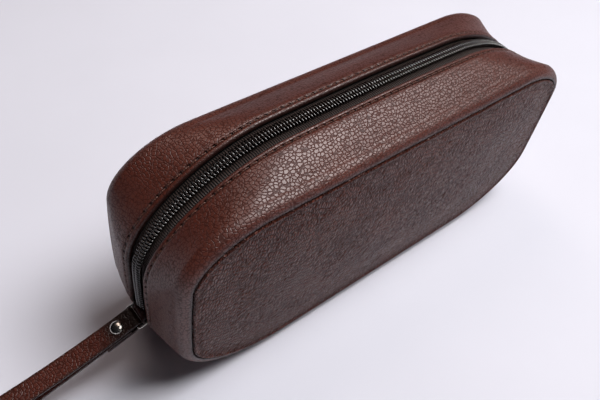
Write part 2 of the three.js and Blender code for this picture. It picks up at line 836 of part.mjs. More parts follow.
addPiece('slider_body', sliderGeometry(), 'nickel', standAtFarEnd);
addPiece('slider_pull', pullGeometry(), 'nickel', (mesh) => {
  standAtFarEnd(mesh);
  mesh.translateZ(pivotHeight);
});

addPiece('strap_tab', tabGeometry(), 'strapLeather');
addPiece('strap_ring', ringGeometry(), 'nickel', (mesh) => {
  mesh.rotation.y = -ringTilt;
  mesh.position.set(innerBar.x, zipLine, innerBar.y);
});
addPiece('wrist_strap', strapGeometry(), 'strapLeather');
addPiece('rivet_cap', rivetCapGeometry(), 'nickel');
addPiece('rivet_post', rivetPostGeometry(), 'nickel');

export default bag;
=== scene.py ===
import json
import math
from functools import cache, partial

import bmesh
import bpy
import numpy as np
from mathutils import Matrix, Vector


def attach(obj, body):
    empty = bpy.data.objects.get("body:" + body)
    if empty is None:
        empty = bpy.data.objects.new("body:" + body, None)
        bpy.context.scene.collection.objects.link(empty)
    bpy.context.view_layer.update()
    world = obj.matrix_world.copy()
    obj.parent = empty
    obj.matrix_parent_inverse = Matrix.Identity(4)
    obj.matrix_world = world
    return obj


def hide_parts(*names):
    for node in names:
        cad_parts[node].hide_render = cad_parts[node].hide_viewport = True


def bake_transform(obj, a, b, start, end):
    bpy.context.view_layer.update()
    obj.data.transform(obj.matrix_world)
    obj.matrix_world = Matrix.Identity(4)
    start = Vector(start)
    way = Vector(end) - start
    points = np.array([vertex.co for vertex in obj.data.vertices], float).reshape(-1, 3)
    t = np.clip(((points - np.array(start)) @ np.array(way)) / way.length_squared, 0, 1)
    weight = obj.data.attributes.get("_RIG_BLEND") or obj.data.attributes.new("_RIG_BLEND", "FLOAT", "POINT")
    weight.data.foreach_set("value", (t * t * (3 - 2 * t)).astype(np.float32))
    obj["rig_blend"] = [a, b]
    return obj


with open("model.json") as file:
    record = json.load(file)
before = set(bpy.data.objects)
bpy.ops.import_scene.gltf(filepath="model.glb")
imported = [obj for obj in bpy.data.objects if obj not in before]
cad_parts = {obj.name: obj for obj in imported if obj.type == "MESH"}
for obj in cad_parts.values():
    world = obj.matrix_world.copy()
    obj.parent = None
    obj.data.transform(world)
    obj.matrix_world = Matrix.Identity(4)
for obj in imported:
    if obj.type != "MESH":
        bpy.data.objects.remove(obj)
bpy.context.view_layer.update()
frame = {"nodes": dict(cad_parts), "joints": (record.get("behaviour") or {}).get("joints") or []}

bl_info = {
    "name": "Cosmetic Bag",
    "version": (1, 0, 0),
    "blender": (4, 5, 0),
    "location": "View3D > Sidebar > Cosmetic Bag",
    "description": "Leather, zip and metal of a boxed cosmetic bag, built round its frame",
    "category": "Add Mesh",
}

MM = 0.001
QUARTER, ROUND = math.pi / 2, 2 * math.pi

# Sizes of the bag's outline, as in the frame
LENGTH, HEIGHT, DEPTH = 220 * MM, 98 * MM, 58 * MM
BOTTOM_CORNER = (52 * MM, 34 * MM)
TOP_CORNER = (37 * MM, 24 * MM)
ZIP_CORNER = (62 * MM, 41 * MM)
SWELL, SWELL_POWER, CROWN, PANEL_BULGE = 2.6 * MM, 1.7, 4 * MM, 3 * MM
NEAR_BOW, FAR_BOW = 3 * MM, 1 * MM
EDGE_ROLL, SEAM_INSET, SEAM_GAP = 5.5 * MM, 4.7 * MM, 0.3 * MM
ZIP_LINE, ZIP_OPENING, ZIP_END = 0.2 * MM, 12.9 * MM, 28.2 * MM
BOTTOM_LINE = 18 * MM
TURNS = 9

# Layers below the outer skin. Skiving leaves a share of the leather where it is folded.
LEATHER, SKIVED = 1.3 * MM, 0.96
TAPE_DEPTH, TAPE_THICKNESS = 2.9 * MM, 0.5 * MM
LINING_DEPTH, LINING_THICKNESS = 3.7 * MM, 0.5 * MM
PAD_BACK = 3.4 * MM

# Forms that the leather takes when it is folded, sewn and handled
LIP_TURN_IN, LIP_RISE, LIP_CLOSING, LIP_CLOSING_REACH = 8 * MM, 0.25 * MM, 1.3 * MM, 9 * MM
OPEN_TURNS, OPEN_FADE = 2.6, 0.8
STITCH_STEPS, STITCH_FADE, SEAM_FADE = 5, 3 * MM, 12 * MM
GROOVE_WIDTH, PUFF_WIDTH, PUFF_HEIGHT = 0.5 * MM, 1.3 * MM, 0.18 * MM
STITCH_SINK, SAG_INSET, SAG_WIDTH = 0.85 * MM, 8 * MM, 15 * MM
PUFF_PLACE, DIMPLE, BASE_STEP, PANEL_STEP = 2 * MM, 0.28, 1.6 * MM, 1.1 * MM
ZIP_RISE, ZIP_RISE_REACH = 0.45 * MM, 60 * MM

# Cut of one half's lining: a strip for the gusset with the panel's oval beside it
LINING_STEP, LINING_EDGE = 2 * MM, 5.8 * MM

# Zip, ring and strap
COIL_WIDTH, COIL_TOP, COIL_BOTTOM, COIL_CROSSING = 6 * MM, 0.7 * MM, 2.6 * MM, 0.7 * MM
COIL_START, COIL_KNUCKLE, COIL_SWAGE, COIL_STEPS = 0.6, 1.25, 0.25, 12
SLIDER_MIDDLE, TAPE_END = 39.5 * MM, 33.6 * MM
RIB_HEIGHT, RIB_SHOWN, WARP_PITCH = 0.13 * MM, (2.6 * MM, 5.5 * MM), 0.5 * MM
RING_WIRE, RING_WIDTH, RING_REACH, RING_TILT = 1.1 * MM, 12.2 * MM, 5 * MM, 0.3
INNER_BAR = (-113.9395 * MM, 30.2500 * MM)
OUTER_BAR = (INNER_BAR[0] - RING_REACH * math.cos(RING_TILT),
             INNER_BAR[1] - RING_REACH * math.sin(RING_TILT))
FOLD_GAP, FOLD_FULLNESS, BAND_ROUNDING = 0.3 * MM, 0.38 * MM, 0.3
TAB_LEATHER, TAB_WIDTH, TAB_TAIL = 1.2 * MM, 9.4 * MM, 8 * MM
STRAP_LEATHER, STRAP_WIDTH, STRAP_LENGTH = 1.3 * MM, 9.4 * MM, 132 * MM
STRAP_LOOP, STRAP_TURN_IN = 14 * MM, 14 * MM
STRAP_FOLD = RING_WIRE / 2 + FOLD_GAP + STRAP_LEATHER / 2
STRAP_PITCH = STRAP_LEATHER + FOLD_GAP
UPPER_EASE, LOWER_EASE, RUN_START, RUN_STEPS = 2.6, 1.5, 0.4 * MM, 90
# Real black dye on the strap's cut edges and its fade; then the reach and fade of painted shade on the strap
# by the ring, in the bag's shadow
DYED_EDGE, DYE_FADE, RING_SHADE_REACH, RING_SHADE_FADE = 0.7 * MM, 0.6 * MM, 16 * MM, 8 * MM
RIVET_PLACE, RIVET_CAP, RIVET_DOME = 7 * MM, 6 * MM, 1.3 * MM
RIVET_BASE, RIVET_POST, RIVET_SIDES = 0.8 * MM, 2.2 * MM, 36
TUMBLED_EDGE = 0.22 * MM

# Camera of the photograph: azimuth, elevation and roll in degrees, focal length in pixels
CAMERA_TURN, CAMERA_PLACE = (-45.98, 48.03, 9.82), (-0.17587, -0.13873, 0.27232)
FOCAL_PIXELS, PICTURE_WIDTH, SENSOR = 657.5, 600, 36
FLOOR_REACH, FLOOR_PLAIN = 2.5, (0.55, 1.0)
LAMP_WHITE, WALL_WHITE = (1.0, 0.985, 0.98), (1.0, 0.82, 0.74)

# The front half folds out about its bottom seam: skin that joins the halves bends beyond the
# slope from that hinge to the end of the zip.
HINGE = next(j["pos_m"] for j in frame["joints"] if j["name"] == "front_half_tilt")
FOLD_SLOPE = np.array([ZIP_LINE - HINGE[1], ZIP_END - HINGE[2]])
FOLD_SLOPE /= np.hypot(*FOLD_SLOPE)
FOLD_START, FOLD_END = 2.8 * MM, 8 * MM


def colour(hex_text):
    """Linear colour of an sRGB hex text."""
    srgb = np.array([int(hex_text[i : i + 2], 16) for i in (1, 3, 5)]) / 255
    linear = np.where(srgb <= 0.04045, srgb / 12.92, ((srgb + 0.055) / 1.055) ** 2.4)
    return (*linear.tolist(), 1.0)


def mix(a, b, share):
    """The value that lies a share of the way from a to b."""
    return a + (b - a) * share


def smooth(share):
    """Ease from 0 to 1: three times the share's square less twice its cube."""
    share = np.clip(share, 0, 1)
    return share * share * (3 - 2 * share)


def bell(distance, width):
    """1 at no distance, and less by the exponential of the distance's square."""
    return np.exp(-((distance / width) ** 2))


def directions(path):
    """Unit directions along the path, or along each path of an array of them."""
    along = np.gradient(path, axis=-2)
    return along / np.linalg.norm(along, axis=-1, keepdims=True)


# The bag's outline


def half_outline(turn, reach):
    """Near half of the outline: the flat bottom, a quarter ellipse, the straight end, a wider
    quarter ellipse as reach goes from 0 at the seams to 1 at the zip, and the flat top."""
    half = LENGTH / 2 + SWELL * reach
    top = HEIGHT + SWELL * reach
    wide = mix(TOP_CORNER[0], ZIP_CORNER[0], reach)
    tall = mix(TOP_CORNER[1], ZIP_CORNER[1], reach)
    stretch = np.minimum(np.floor(turn), 4)
    share = turn - stretch
    sine, cosine = np.sin(share * QUARTER), np.cos(share * QUARTER)
    flat = half - BOTTOM_CORNER[0]
    stretches = [stretch == place for place in range(4)]
    x = np.select(
        stretches,
        [-share * flat, -flat - BOTTOM_CORNER[0] * sine, -half, -(half - wide) - wide * cosine],
        -(half - wide) * (1 - 2 * share),
    )
    z = np.select(
        stretches,
        [0 * share, BOTTOM_CORNER[1] * (1 - cosine), mix(BOTTOM_CORNER[1], top - tall, share),
         top - tall * (1 - sine)],
        top,
    )
    return x, z


def outline(turn, weight):
    """Outline at one depth of the bag: turn counts its nine stretches from the middle of the
    bottom, weight is 0 at the seams and 1 at the zip. The ends are bowed by a parabola in
    height, and the top is crowned by a parabola in length."""
    turn, weight = np.broadcast_arrays(np.asarray(turn, float), np.asarray(weight, float))
    wrapped = np.mod(turn, TURNS)
    far = wrapped > TURNS / 2
    near = np.where(far, TURNS - wrapped, wrapped)
    reach = weight * smooth(near - 1)
    x, z = half_outline(near, reach)
    along = np.abs(x) / (LENGTH / 2)
    up = z / HEIGHT
    bow = np.where(far, FAR_BOW, NEAR_BOW) * np.maximum(0, 1 - (2 * up - 1) ** 2) * along**2
    crown = CROWN * reach * np.maximum(0, 1 - along**2) * up**4
    return np.where(far, -1, 1) * (x - bow), z + crown


def outline_normal(turn, weight):
    """Outward unit normal of the outline, from the slope over a small step of the turn."""
    step = 1 / 1000
    x1, z1 = outline(turn + step, weight)
    x0, z0 = outline(turn - step, weight)
    run = np.hypot(x1 - x0, z1 - z0)
    return -(z1 - z0) / run, (x1 - x0) / run


def moved_in(turn, weight, distance):
    """The outline moved in by a distance, square to itself."""
    x, z = outline(turn, weight)
    nx, nz = outline_normal(turn, weight)
    return x - nx * distance, z - nz * distance


def zip_weight(y):
    """1 across the zip's opening, then one less the share of the way to the gusset's edge,
    raised to the power by which the swell falls off."""
    lip = ZIP_OPENING / 2
    across = y - ZIP_LINE
    span = DEPTH / 2 - EDGE_ROLL - np.sign(across) * ZIP_LINE - lip
    beyond = np.maximum(0, np.abs(across) - lip)
    return 1 - np.minimum(1, beyond / span) ** SWELL_POWER


def skin(turn, y, depth):
    """Point of the gusset: the outline at that turn and y, moved in by the depth."""
    turn, y, depth = np.broadcast_arrays(
        np.asarray(turn, float), np.asarray(y, float), np.asarray(depth, float)
    )
    x, z = moved_in(turn, zip_weight(y), depth)
    return np.stack([x, y, z], -1)


def turn_at_height(height):
    """Turn in the near bottom corner at which the outline has that height."""
    return 1 + math.acos(1 - height / BOTTOM_CORNER[1]) / QUARTER


ZIP_TURN = turn_at_height(ZIP_END)


def spaced_turns(start, end, y, spacing, multiple=1):
    """Turns from start to end at even steps of length along the line y, and their distances:
    the length is summed over fine steps and read back."""
    fine = np.linspace(start, end, 6001)
    points = skin(fine, y, 0)
    steps = np.linalg.norm(np.diff(points, axis=0), axis=1)
    length = np.concatenate([[0], np.cumsum(steps)])
    count = max(1, round(length[-1] / spacing / multiple)) * multiple
    distances = np.linspace(0, length[-1], count + 1)
    return np.interp(distances, length, fine), distances


def stitched_turns(side, seams):
    """Turns and distances along a row of topstitching, with even steps in each stitch."""
    return spaced_turns(ZIP_TURN, TURNS - ZIP_TURN, lip_side(side) + side * seams.stitch_inset,
                        seams.stitch_pitch / STITCH_STEPS, STITCH_STEPS)


def all_round(zipped, side, spacing):
    """Turns along the zip and on along the bottom to the first again, and the numbers of the
    rows that have no zip beside them."""
    bottom, _ = spaced_turns(TURNS - ZIP_TURN, TURNS + ZIP_TURN, side * BOTTOM_LINE, spacing)
    turns = np.concatenate([zipped, bottom[1:-1]])
    return turns, np.append(np.arange(len(zipped) - 1, len(turns)), 0)


# Meshes


def curve_through(points, steps):
    """Smooth line through the points: Catmull-Rom, with that many steps from point to point."""
    points = np.asarray(points, float)
    padded = np.array([2 * points[0] - points[1], *points, 2 * points[-1] - points[-2]])
    p0, p1, p2, p3 = (padded[k : len(padded) - 3 + k, None] for k in range(4))
    t = np.arange(steps)[None, :, None] / steps
    line = 0.5 * (
        2 * p1 + (p2 - p0) * t + (2 * p0 - 5 * p1 + 4 * p2 - p3) * t**2
        + (3 * p1 - p0 - 3 * p2 + p3) * t**3
    )
    return np.concatenate([line.reshape(-1, points.shape[1]), points[-1:]])


def numbered(start, rows, columns):
    """Grid of vertex numbers, counted on from the start."""
    return start + np.arange(rows * columns).reshape(rows, columns)


def grid_quads(index, closed_rows=False, closed_columns=False):
    """Quads of a grid of vertex indices, rows by columns."""
    if closed_rows:
        index = np.concatenate([index, index[:1]])
    if closed_columns:
        index = np.concatenate([index, index[:, :1]], 1)
    a, b, c, d = index[:-1, :-1], index[:-1, 1:], index[1:, 1:], index[1:, :-1]
    return np.stack([a, b, c, d], -1).reshape(-1, 4)


def fan(ring, tip):
    """Triangles from a closed ring to its tip, written as quads that have the tip twice."""
    tips = np.full(len(ring), tip)
    return np.stack([ring, tips, tips, np.roll(ring, -1)], 1)


def shell(outer, inner, quads):
    """Closed body between two like sheets: the outer faces, the inner ones turned round, and a
    wall along every open edge."""
    count = len(outer)
    edges = np.concatenate([quads[:, [k, (k + 1) % 4]] for k in range(4)]).astype(np.int64)
    ahead = edges[:, 0] * count + edges[:, 1]
    back = edges[:, 1] * count + edges[:, 0]
    rim = edges[~np.isin(ahead, back)]
    walls = np.stack([rim[:, 1], rim[:, 0], rim[:, 0] + count, rim[:, 1] + count], 1)
    return np.concatenate([outer, inner]), np.concatenate([quads, quads[:, ::-1] + count, walls])


def enclosed(points, quads):
    """Volume that the quads enclose, six times over, negative if they point inwards."""
    a, b, c, d = (points[quads[:, k]] for k in range(4))
    return (a * (np.cross(b, c) + np.cross(c, d))).sum()


def bend_with_front(made):
    """The piece follows the back half up to the slope from the hinge to the zip's end, and the
    front half beyond the fold, which starts far enough from the slope to clear the ring."""
    across = np.array([0, -FOLD_SLOPE[1], FOLD_SLOPE[0]])
    start, end = (tuple(HINGE + across * distance) for distance in (FOLD_START, FOLD_END))
    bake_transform(made, "back_half", "front_half", start=start, end=end)


def placed(name, mesh, finish, body, replaced):
    """New object of a mesh in one finish. It rides on a body or, without one, bends between the
    halves, and it stands for the replaced nodes of the frame."""
    mesh.materials.append(material_of(finish))
    made = bpy.data.objects.new(name, mesh)
    bpy.context.scene.collection.objects.link(made)
    if body:
        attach(made, body)
    else:
        bend_with_front(made)
    if replaced:
        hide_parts(*replaced)
    return made


def piece(name, points, quads, finish, body, replaced, caps=(), angle=40, **attributes):
    """New piece of numpy points and quads, turned to face outwards, smooth except at edges
    sharper than the angle. caps are end faces with any number of corners."""
    if enclosed(points, quads) < 0:
        quads = quads[:, ::-1]
        caps = [cap[::-1] for cap in caps]
    pointed = quads[:, 1] == quads[:, 2]
    faces = quads[~pointed].tolist() + quads[pointed][:, [0, 1, 3]].tolist()
    mesh = bpy.data.meshes.new(name)
    mesh.from_pydata(points.tolist(), [], faces + [cap.tolist() for cap in caps])
    mesh.validate()
    for label, values in attributes.items():
        layer = mesh.attributes.new(label, "FLOAT", "POINT")
        layer.data.foreach_set("value", np.asarray(values, np.float32).ravel())
    mesh.shade_smooth()
    mesh.set_sharp_from_angle(angle=math.radians(angle))
    return placed(name, mesh, finish, body, replaced)


def tube(path, radius, sides, up, closed=False):
    """Round tube along a path: circles square to it, turned so that they don't twist about the
    direction up."""
    if closed:
        along = np.roll(path, -1, 0) - np.roll(path, 1, 0)
        along /= np.linalg.norm(along, axis=1)[:, None]
    else:
        along = directions(path)
    side = np.cross(along, np.broadcast_to(up, path.shape))
    side /= np.linalg.norm(side, axis=1)[:, None]
    top = np.cross(side, along)
    angle = np.arange(sides) * ROUND / sides
    ring = np.cos(angle)[:, None] * side[:, None] + np.sin(angle)[:, None] * top[:, None]
    points = path[:, None] + np.broadcast_to(radius, len(path))[:, None, None] * ring
    index = numbered(0, len(path), sides)
    quads = grid_quads(index, closed_rows=closed, closed_columns=True)
    return points.reshape(-1, 3), quads, [] if closed else [index[0][::-1], index[-1]]


# Materials


def node(tree, kind, sockets=None, out=0, stops=(), **settings):
    """Adds a node of a kind with its settings, gives its sockets values or links and a colour
    ramp its stops, and returns one of its outputs."""
    made = tree.nodes.new("ShaderNode" + kind)
    for name, value in settings.items():
        setattr(made, name, value)
    for socket, value in (sockets or {}).items():
        target = made.inputs[socket]
        if isinstance(value, bpy.types.NodeSocket):
            tree.links.new(value, target)
        else:
            target.default_value = value
    for number, (place, tone) in enumerate(stops):
        elements = made.color_ramp.elements
        element = elements[number] if number < len(elements) else elements.new(place)
        element.position = place
        element.color = colour(tone) if isinstance(tone, str) else tone
    return made.outputs[out] if made.outputs else None


def emptied(owner):
    """Empties the node tree of a material or world, and returns node for that tree."""
    owner.use_nodes = True
    owner.node_tree.nodes.clear()
    return partial(node, owner.node_tree)


def new_material(name):
    material = bpy.data.materials.new(name)
    return material, emptied(material)


def grained_leather(name, tones, grain, flat, relief, stretch, lean, gloss, shine, detail=None):
    """Cowhide with a pigmented, semi-gloss finish: flat-topped cells of grain between dull
    creases darkened with painted shade, tilted this way and that by finer wrinkles, and painted
    shade wherever the edge attribute is set and along the stitch line that detail adds. tones are
    the colour of the painted shade (on the strap also of its real edge dye), the body and the
    crown colours; grain is the cell's width in mm, flat the share of it that its slopes take,
    stretch its proportions along X, Y and Z, lean the turn of the long way from upright, relief
    the height in mm, and detail adds the marks of a seam."""
    material, add = new_material(name)
    painted_shade_and_dye, middle, crown = tones
    place = add("TexCoord", out="Object")
    turned = add("Mapping", {"Vector": place, "Rotation": (0, lean, 0), "Scale": stretch},
                 vector_type="TEXTURE")
    wander = add("TexNoise", {"Vector": turned, "Scale": 0.4 / (grain * MM), "Detail": 2.0},
                 "Color")
    pushed = add("VectorMath", {0: wander, 1: (0.5 * grain * MM,) * 3, 2: turned},
                 operation="MULTIPLY_ADD")
    border = add("TexVoronoi",
                 {"Vector": pushed, "Scale": 1 / (grain * MM), "Randomness": 0.75},
                 feature="DISTANCE_TO_EDGE")
    opened = add("MapRange", {"Value": border, "From Max": flat},
                 interpolation_type="SMOOTHSTEP")
    wrinkle = add("TexNoise", {"Vector": turned, "Scale": 0.6 / (grain * MM), "Detail": 2.5})
    folds = add("TexNoise", {"Vector": place, "Scale": 1 / (8 * MM), "Detail": 2.0})
    rough = add("Math", {0: wrinkle, 1: 0.8, 2: opened}, operation="MULTIPLY_ADD")
    height = add("Math", {0: folds, 1: 2.0, 2: rough}, operation="MULTIPLY_ADD")
    pressed = add("Attribute", out="Fac", attribute_name="pressed")
    kept = add("Math", {0: pressed, 1: -0.4, 2: 1.0}, operation="MULTIPLY_ADD")
    bump = add("Bump", {"Height": height, "Distance": relief * MM, "Strength": kept})
    mottle = add("TexNoise", {"Vector": place, "Scale": 1 / (26 * MM), "Detail": 5.0})
    hide = add("ValToRGB", {"Fac": mottle}, stops=[(0.32, middle), (0.68, crown)])
    # Painted shade in the creases: the cells' slopes and creases take part of the first tone
    unshaded_share = add("Math", {0: opened, 1: 0.6, 2: 0.4}, operation="MULTIPLY_ADD")
    tone = add("Mix", {0: unshaded_share, 6: colour(painted_shade_and_dye), 7: hide}, 2, data_type="RGBA")
    edge = add("Attribute", out="Fac", attribute_name="edge")
    if detail:
        bump, edge = detail(add, bump, edge)
    # Painted shade in grooves, on folded lips, along stitches and near the ring; on the strap and tab the
    # same mix also gives the real edge dye
    tone = add("Mix", {0: edge, 6: tone, 7: colour(painted_shade_and_dye)}, 2, data_type="RGBA")
    dull = add("MapRange", {"Value": opened, "To Min": gloss + 0.1, "To Max": gloss})
    lustre = add("MapRange", {"Value": opened, "To Min": 0.5 * shine, "To Max": 1.15 * shine})
    add("OutputMaterial", {"Surface": add("BsdfPrincipled", {
        "Base Color": tone, "Roughness": dull, "Normal": bump, "Specular IOR Level": lustre})})
    return material


def needle_holes(add, bump, edge):
    """Drawn-in line of the topstitching, with a dip at each needle hole; painted shade darkens the line,
    most in each hole.
    """
    seams = bpy.context.scene.bag_seams
    along = add("Attribute", out="Fac", attribute_name="along")
    from_lip = add("Attribute", out="Fac", attribute_name="from_lip")
    beside = add("Math", {0: from_lip, 1: seams.stitch_inset}, operation="SUBTRACT")
    beside = add("Math", {0: beside}, operation="ABSOLUTE")
    line = add("MapRange", {"Value": beside, "From Min": 0.15 * MM, "From Max": 0.75 * MM,
                            "To Min": 1.0, "To Max": 0.0}, interpolation_type="SMOOTHSTEP")
    turn = add("Math", {0: along, 1: ROUND / seams.stitch_pitch}, operation="MULTIPLY")
    wave = add("Math", {0: turn}, operation="COSINE")
    near = add("MapRange", {"Value": wave, "From Min": 0.35, "From Max": 0.95},
               interpolation_type="SMOOTHSTEP")
    hole = add("Math", {0: near, 1: line}, operation="MULTIPLY")
    drawn = add("Math", {0: line, 1: 0.5, 2: hole}, operation="MULTIPLY_ADD")
    # Painted shade along the stitch groove, deepest in each needle hole
    dark = add("Math", {0: line, 1: 0.7, 2: hole}, operation="MULTIPLY_ADD")
    return (add("Bump", {"Height": drawn, "Distance": -0.5 * MM, "Normal": bump}),
            add("Math", {0: edge, 1: dark}, operation="ADD", use_clamp=True))


def bead_creases(add, bump, edge):
    """Cross folds of leather drawn round a seam, about 1.1 mm apart, on the bead only."""
    along = add("Attribute", out="Fac", attribute_name="along")
    from_seam = add("Attribute", out="Fac", attribute_name="from_seam")
    on_bead = add("MapRange", {"Value": from_seam, "From Min": 1.0 * MM, "From Max": 2.2 * MM,
                               "To Min": 1.0, "To Max": 0.0}, interpolation_type="SMOOTHSTEP")
    place = add("CombineXYZ", {0: along, 1: from_seam})
    longer = add("Mapping", {"Vector": place, "Scale": (1, 0.25, 1)})
    folds = add("TexNoise", {"Vector": longer, "Scale": 1 / (1.1 * MM), "Detail": 2.0})
    height = add("Math", {0: folds, 1: on_bead}, operation="MULTIPLY")
    return add("Bump", {"Height": height, "Distance": 0.7 * MM, "Normal": bump}), edge


def woven_tape():
    """Polyester zip tape, woven with ribs across it. Its colour is painted light: a painted
    highlight on the ribs' crowns, painted shade in the furrows, which are nearly black, and
    painted shadow of the lip from 4.9 to 5.4 mm across, where the ribs fade. The colour follows
    the ribs of the form."""
    material, add = new_material("woven_polyester_tape")
    waves = {}
    for label, step in (("along", bpy.context.scene.bag_zip.rib_pitch), ("across", WARP_PITCH)):
        distance = add("Attribute", out="Fac", attribute_name=label)
        turned = add("Math", {0: distance, 1: ROUND / step}, operation="MULTIPLY")
        wave = add("Math", {0: turned}, operation="SINE")
        waves[label] = add("Math", {0: wave, 1: 0.5, 2: 0.5}, operation="MULTIPLY_ADD")
    # Painted shadow under the lip: from 4.9 to 5.4 mm across, the ribs fade and the tape darkens
    clear_of_lip_shadow = add("MapRange", {"Value": distance, "From Min": 4.9 * MM, "From Max": 5.4 * MM,
                              "To Min": 1.0, "To Max": 0.15})
    ribs = add("Math", {0: waves["along"], 1: clear_of_lip_shadow}, operation="MULTIPLY")
    weave = add("Math", {0: waves["across"], 1: 0.15, 2: ribs}, operation="MULTIPLY_ADD")
    # Painted highlight on the ribs' crowns, painted shade in the furrows
    tone = add("ValToRGB", {"Fac": weave},
               stops=[(0.25, "#080505"), (0.7, "#211714"), (1.0, "#41332f")])
    bump = add("Bump", {"Height": weave, "Distance": 0.12 * MM})
    add("OutputMaterial", {"Surface": add("BsdfPrincipled", {
        "Base Color": tone, "Roughness": 0.55, "Normal": bump, "Sheen Weight": 0.1,
        "Sheen Roughness": 0.4, "Specular IOR Level": 0.3})})
    return material


def lining_cloth():
    """Polyester lining, plain weave: threads 0.45 mm apart, dark brown with a dull lustre."""
    material, add = new_material("polyester_lining")
    place = add("TexCoord", out="Object")
    weave = 0.0
    for rotation in ((0, 0, 0), (0, QUARTER, 0), (0, 0, QUARTER)):
        turned = add("Mapping", {"Vector": place, "Rotation": rotation})
        wave = add("TexWave", {"Vector": turned, "Scale": 0.314 / (0.45 * MM), "Distortion": 0.3},
                   "Fac")
        weave = add("Math", {0: wave, 1: 1 / 3, 2: weave}, operation="MULTIPLY_ADD")
    tone = add("ValToRGB", {"Fac": weave}, stops=[(0.2, "#1d1512"), (0.8, "#3d2d28")])
    bump = add("Bump", {"Height": weave, "Distance": 0.1 * MM})
    add("OutputMaterial", {"Surface": add("BsdfPrincipled", {
        "Base Color": tone, "Roughness": 0.6, "Normal": bump, "Sheen Weight": 0.3,
        "Sheen Roughness": 0.35})})
    return material


def patterned(name, kind, pattern, stops, relief, dull, mapping=None, **sockets):
    """Material of one pattern, which sets its colour between the stops, its relief in mm and,
    if dull is a pair, its roughness."""
    material, add = new_material(name)
    place = add("TexCoord", out="Object")
    if mapping:
        place = add("Mapping", {"Vector": place, **mapping})
    value = add(kind, {"Vector": place, **pattern}, "Fac")
    if isinstance(dull, tuple):
        dull = add("MapRange", {"Value": value, "To Min": dull[0], "To Max": dull[1]})
    add("OutputMaterial", {"Surface": add("BsdfPrincipled", {
        "Base Color": add("ValToRGB", {"Fac": value}, stops=stops), "Roughness": dull,
        "Normal": add("Bump", {"Height": value, "Distance": relief * MM}), **sockets})})
    return material


def backdrop_paper(tone):
    """Matt backdrop paper: cold white with a very fine tooth. Far from the bag the camera sees
    its plain colour, so that it meets the background."""
    material, add = new_material("backdrop_paper")
    place = add("TexCoord", out="Object")
    tooth = add("TexNoise", {"Vector": place, "Scale": 1 / (90 * MM), "Detail": 4.0})
    shade = tuple(0.97 * c for c in tone[:3]) + (1.0,)
    sheet = add("ValToRGB", {"Fac": tooth}, stops=[(0.3, shade), (0.7, tone)])
    paper = add("BsdfPrincipled",
                {"Base Color": sheet, "Roughness": 0.9, "Specular IOR Level": 0.2})
    away = add("VectorMath", {0: place}, "Value", operation="LENGTH")
    far = add("MapRange", {"Value": away, "From Min": FLOOR_PLAIN[0], "From Max": FLOOR_PLAIN[1]},
              interpolation_type="SMOOTHSTEP")
    seen = add("LightPath", out="Is Camera Ray")
    plain = add("Math", {0: seen, 1: far}, operation="MULTIPLY")
    glow = add("Emission", {"Color": tone, "Strength": 1.0})
    add("OutputMaterial", {"Surface": add("MixShader", {0: plain, 1: paper, 2: glow})})
    return material


FINISHES = {
    # Milled cowhide: even, flat pebbles with a satin finish; painted shade in creases and grooves
    "gusset": lambda: grained_leather(
        "milled_cowhide", ("#260d08", "#502116", "#5c291c"),
        bpy.context.scene.bag_finish.grain_width / MM, 0.17, 0.09, (1.2, 1, 1), 0.0, 0.4, 0.62,
        needle_holes),
    # The same hide stretched over board: its grain is drawn out upwards and lies flatter.
    # Its creases and the seam's groove take painted shade.
    "panel": lambda: grained_leather(
        "stretched_cowhide", ("#120402", "#5a271a", "#693222"), 1.25, 0.26, 1.2, (1, 1, 1.8),
        0.3, 0.31, 0.3, bead_creases),
    # Strap leather, rolled smoother, with black edge dye; painted shade in its creases and by the ring
    "strap": lambda: grained_leather(
        "strap_cowhide", ("#28100b", "#4e2117", "#5c281d"), 1.5, 0.2, 0.1, (1, 1, 1), 0.0, 0.32,
        0.5),
    "tape": woven_tape,
    "lining": lining_cloth,
    # Nylon monofilament, drawn and wound: dark brown and glossy, with faint draw lines
    "coil": lambda: patterned(
        "nylon_monofilament", "TexNoise", {"Scale": 1 / (0.4 * MM), "Detail": 2.0},
        [(0.3, "#0e0908"), (0.7, "#241917")], 0.02, (0.12, 0.24),
        **{"Specular IOR Level": 1.0, "Coat Weight": 0.5, "Coat Roughness": 0.15}),
    # Twisted polyester thread: the ridges of its plies run slantwise round it
    "thread": lambda: patterned(
        "brown_polyester_thread", "TexWave", {"Scale": 1 / (3.2 * MM), "Distortion": 0.5},
        [(0.1, "#38190f"), (0.9, "#6f4232")], 0.08, 0.5, {"Rotation": (0.6, 0.4, 0.7)},
        **{"Sheen Weight": 0.2}),
    # Nickel plate on die-cast zinc: bright, with a fine tumbled roughness and faint scuffs
    "nickel": lambda: patterned(
        "nickel_plate", "TexNoise", {"Scale": 1 / (1.1 * MM), "Detail": 6.0, "Roughness": 0.7},
        [(0.3, "#b9b4ab"), (0.7, "#d8d4cc")], 0.015, (0.12, 0.3), Metallic=1.0),
    # Pressed fibre board: grey-brown and matt, with short fibres
    "board": lambda: patterned(
        "pressed_fibre_board", "TexNoise", {"Scale": 1 / (0.8 * MM), "Detail": 6.0},
        [(0.3, "#6b5f52"), (0.7, "#94877a")], 0.1, 0.9, {"Scale": (0.3, 1, 1)}),
}


@cache
def material_of(finish):
    """The finish's material, made when it is first asked for."""
    return FINISHES[finish]()


# Settings that a user would change

size_property = partial(bpy.props.FloatProperty, unit="LENGTH", subtype="DISTANCE")
power_property = partial(bpy.props.FloatProperty, unit="POWER", min=0)


class BagFinishSettings(bpy.types.PropertyGroup):
    grain_width: size_property(
        name="Grain width", description="Width of one pebble of the gusset's grain",
        default=1.4 * MM, min=0.3 * MM)
    softness: size_property(
        name="Softness", description="How far the leather sags and swells out of its true form",
        default=0.3 * MM, min=0)


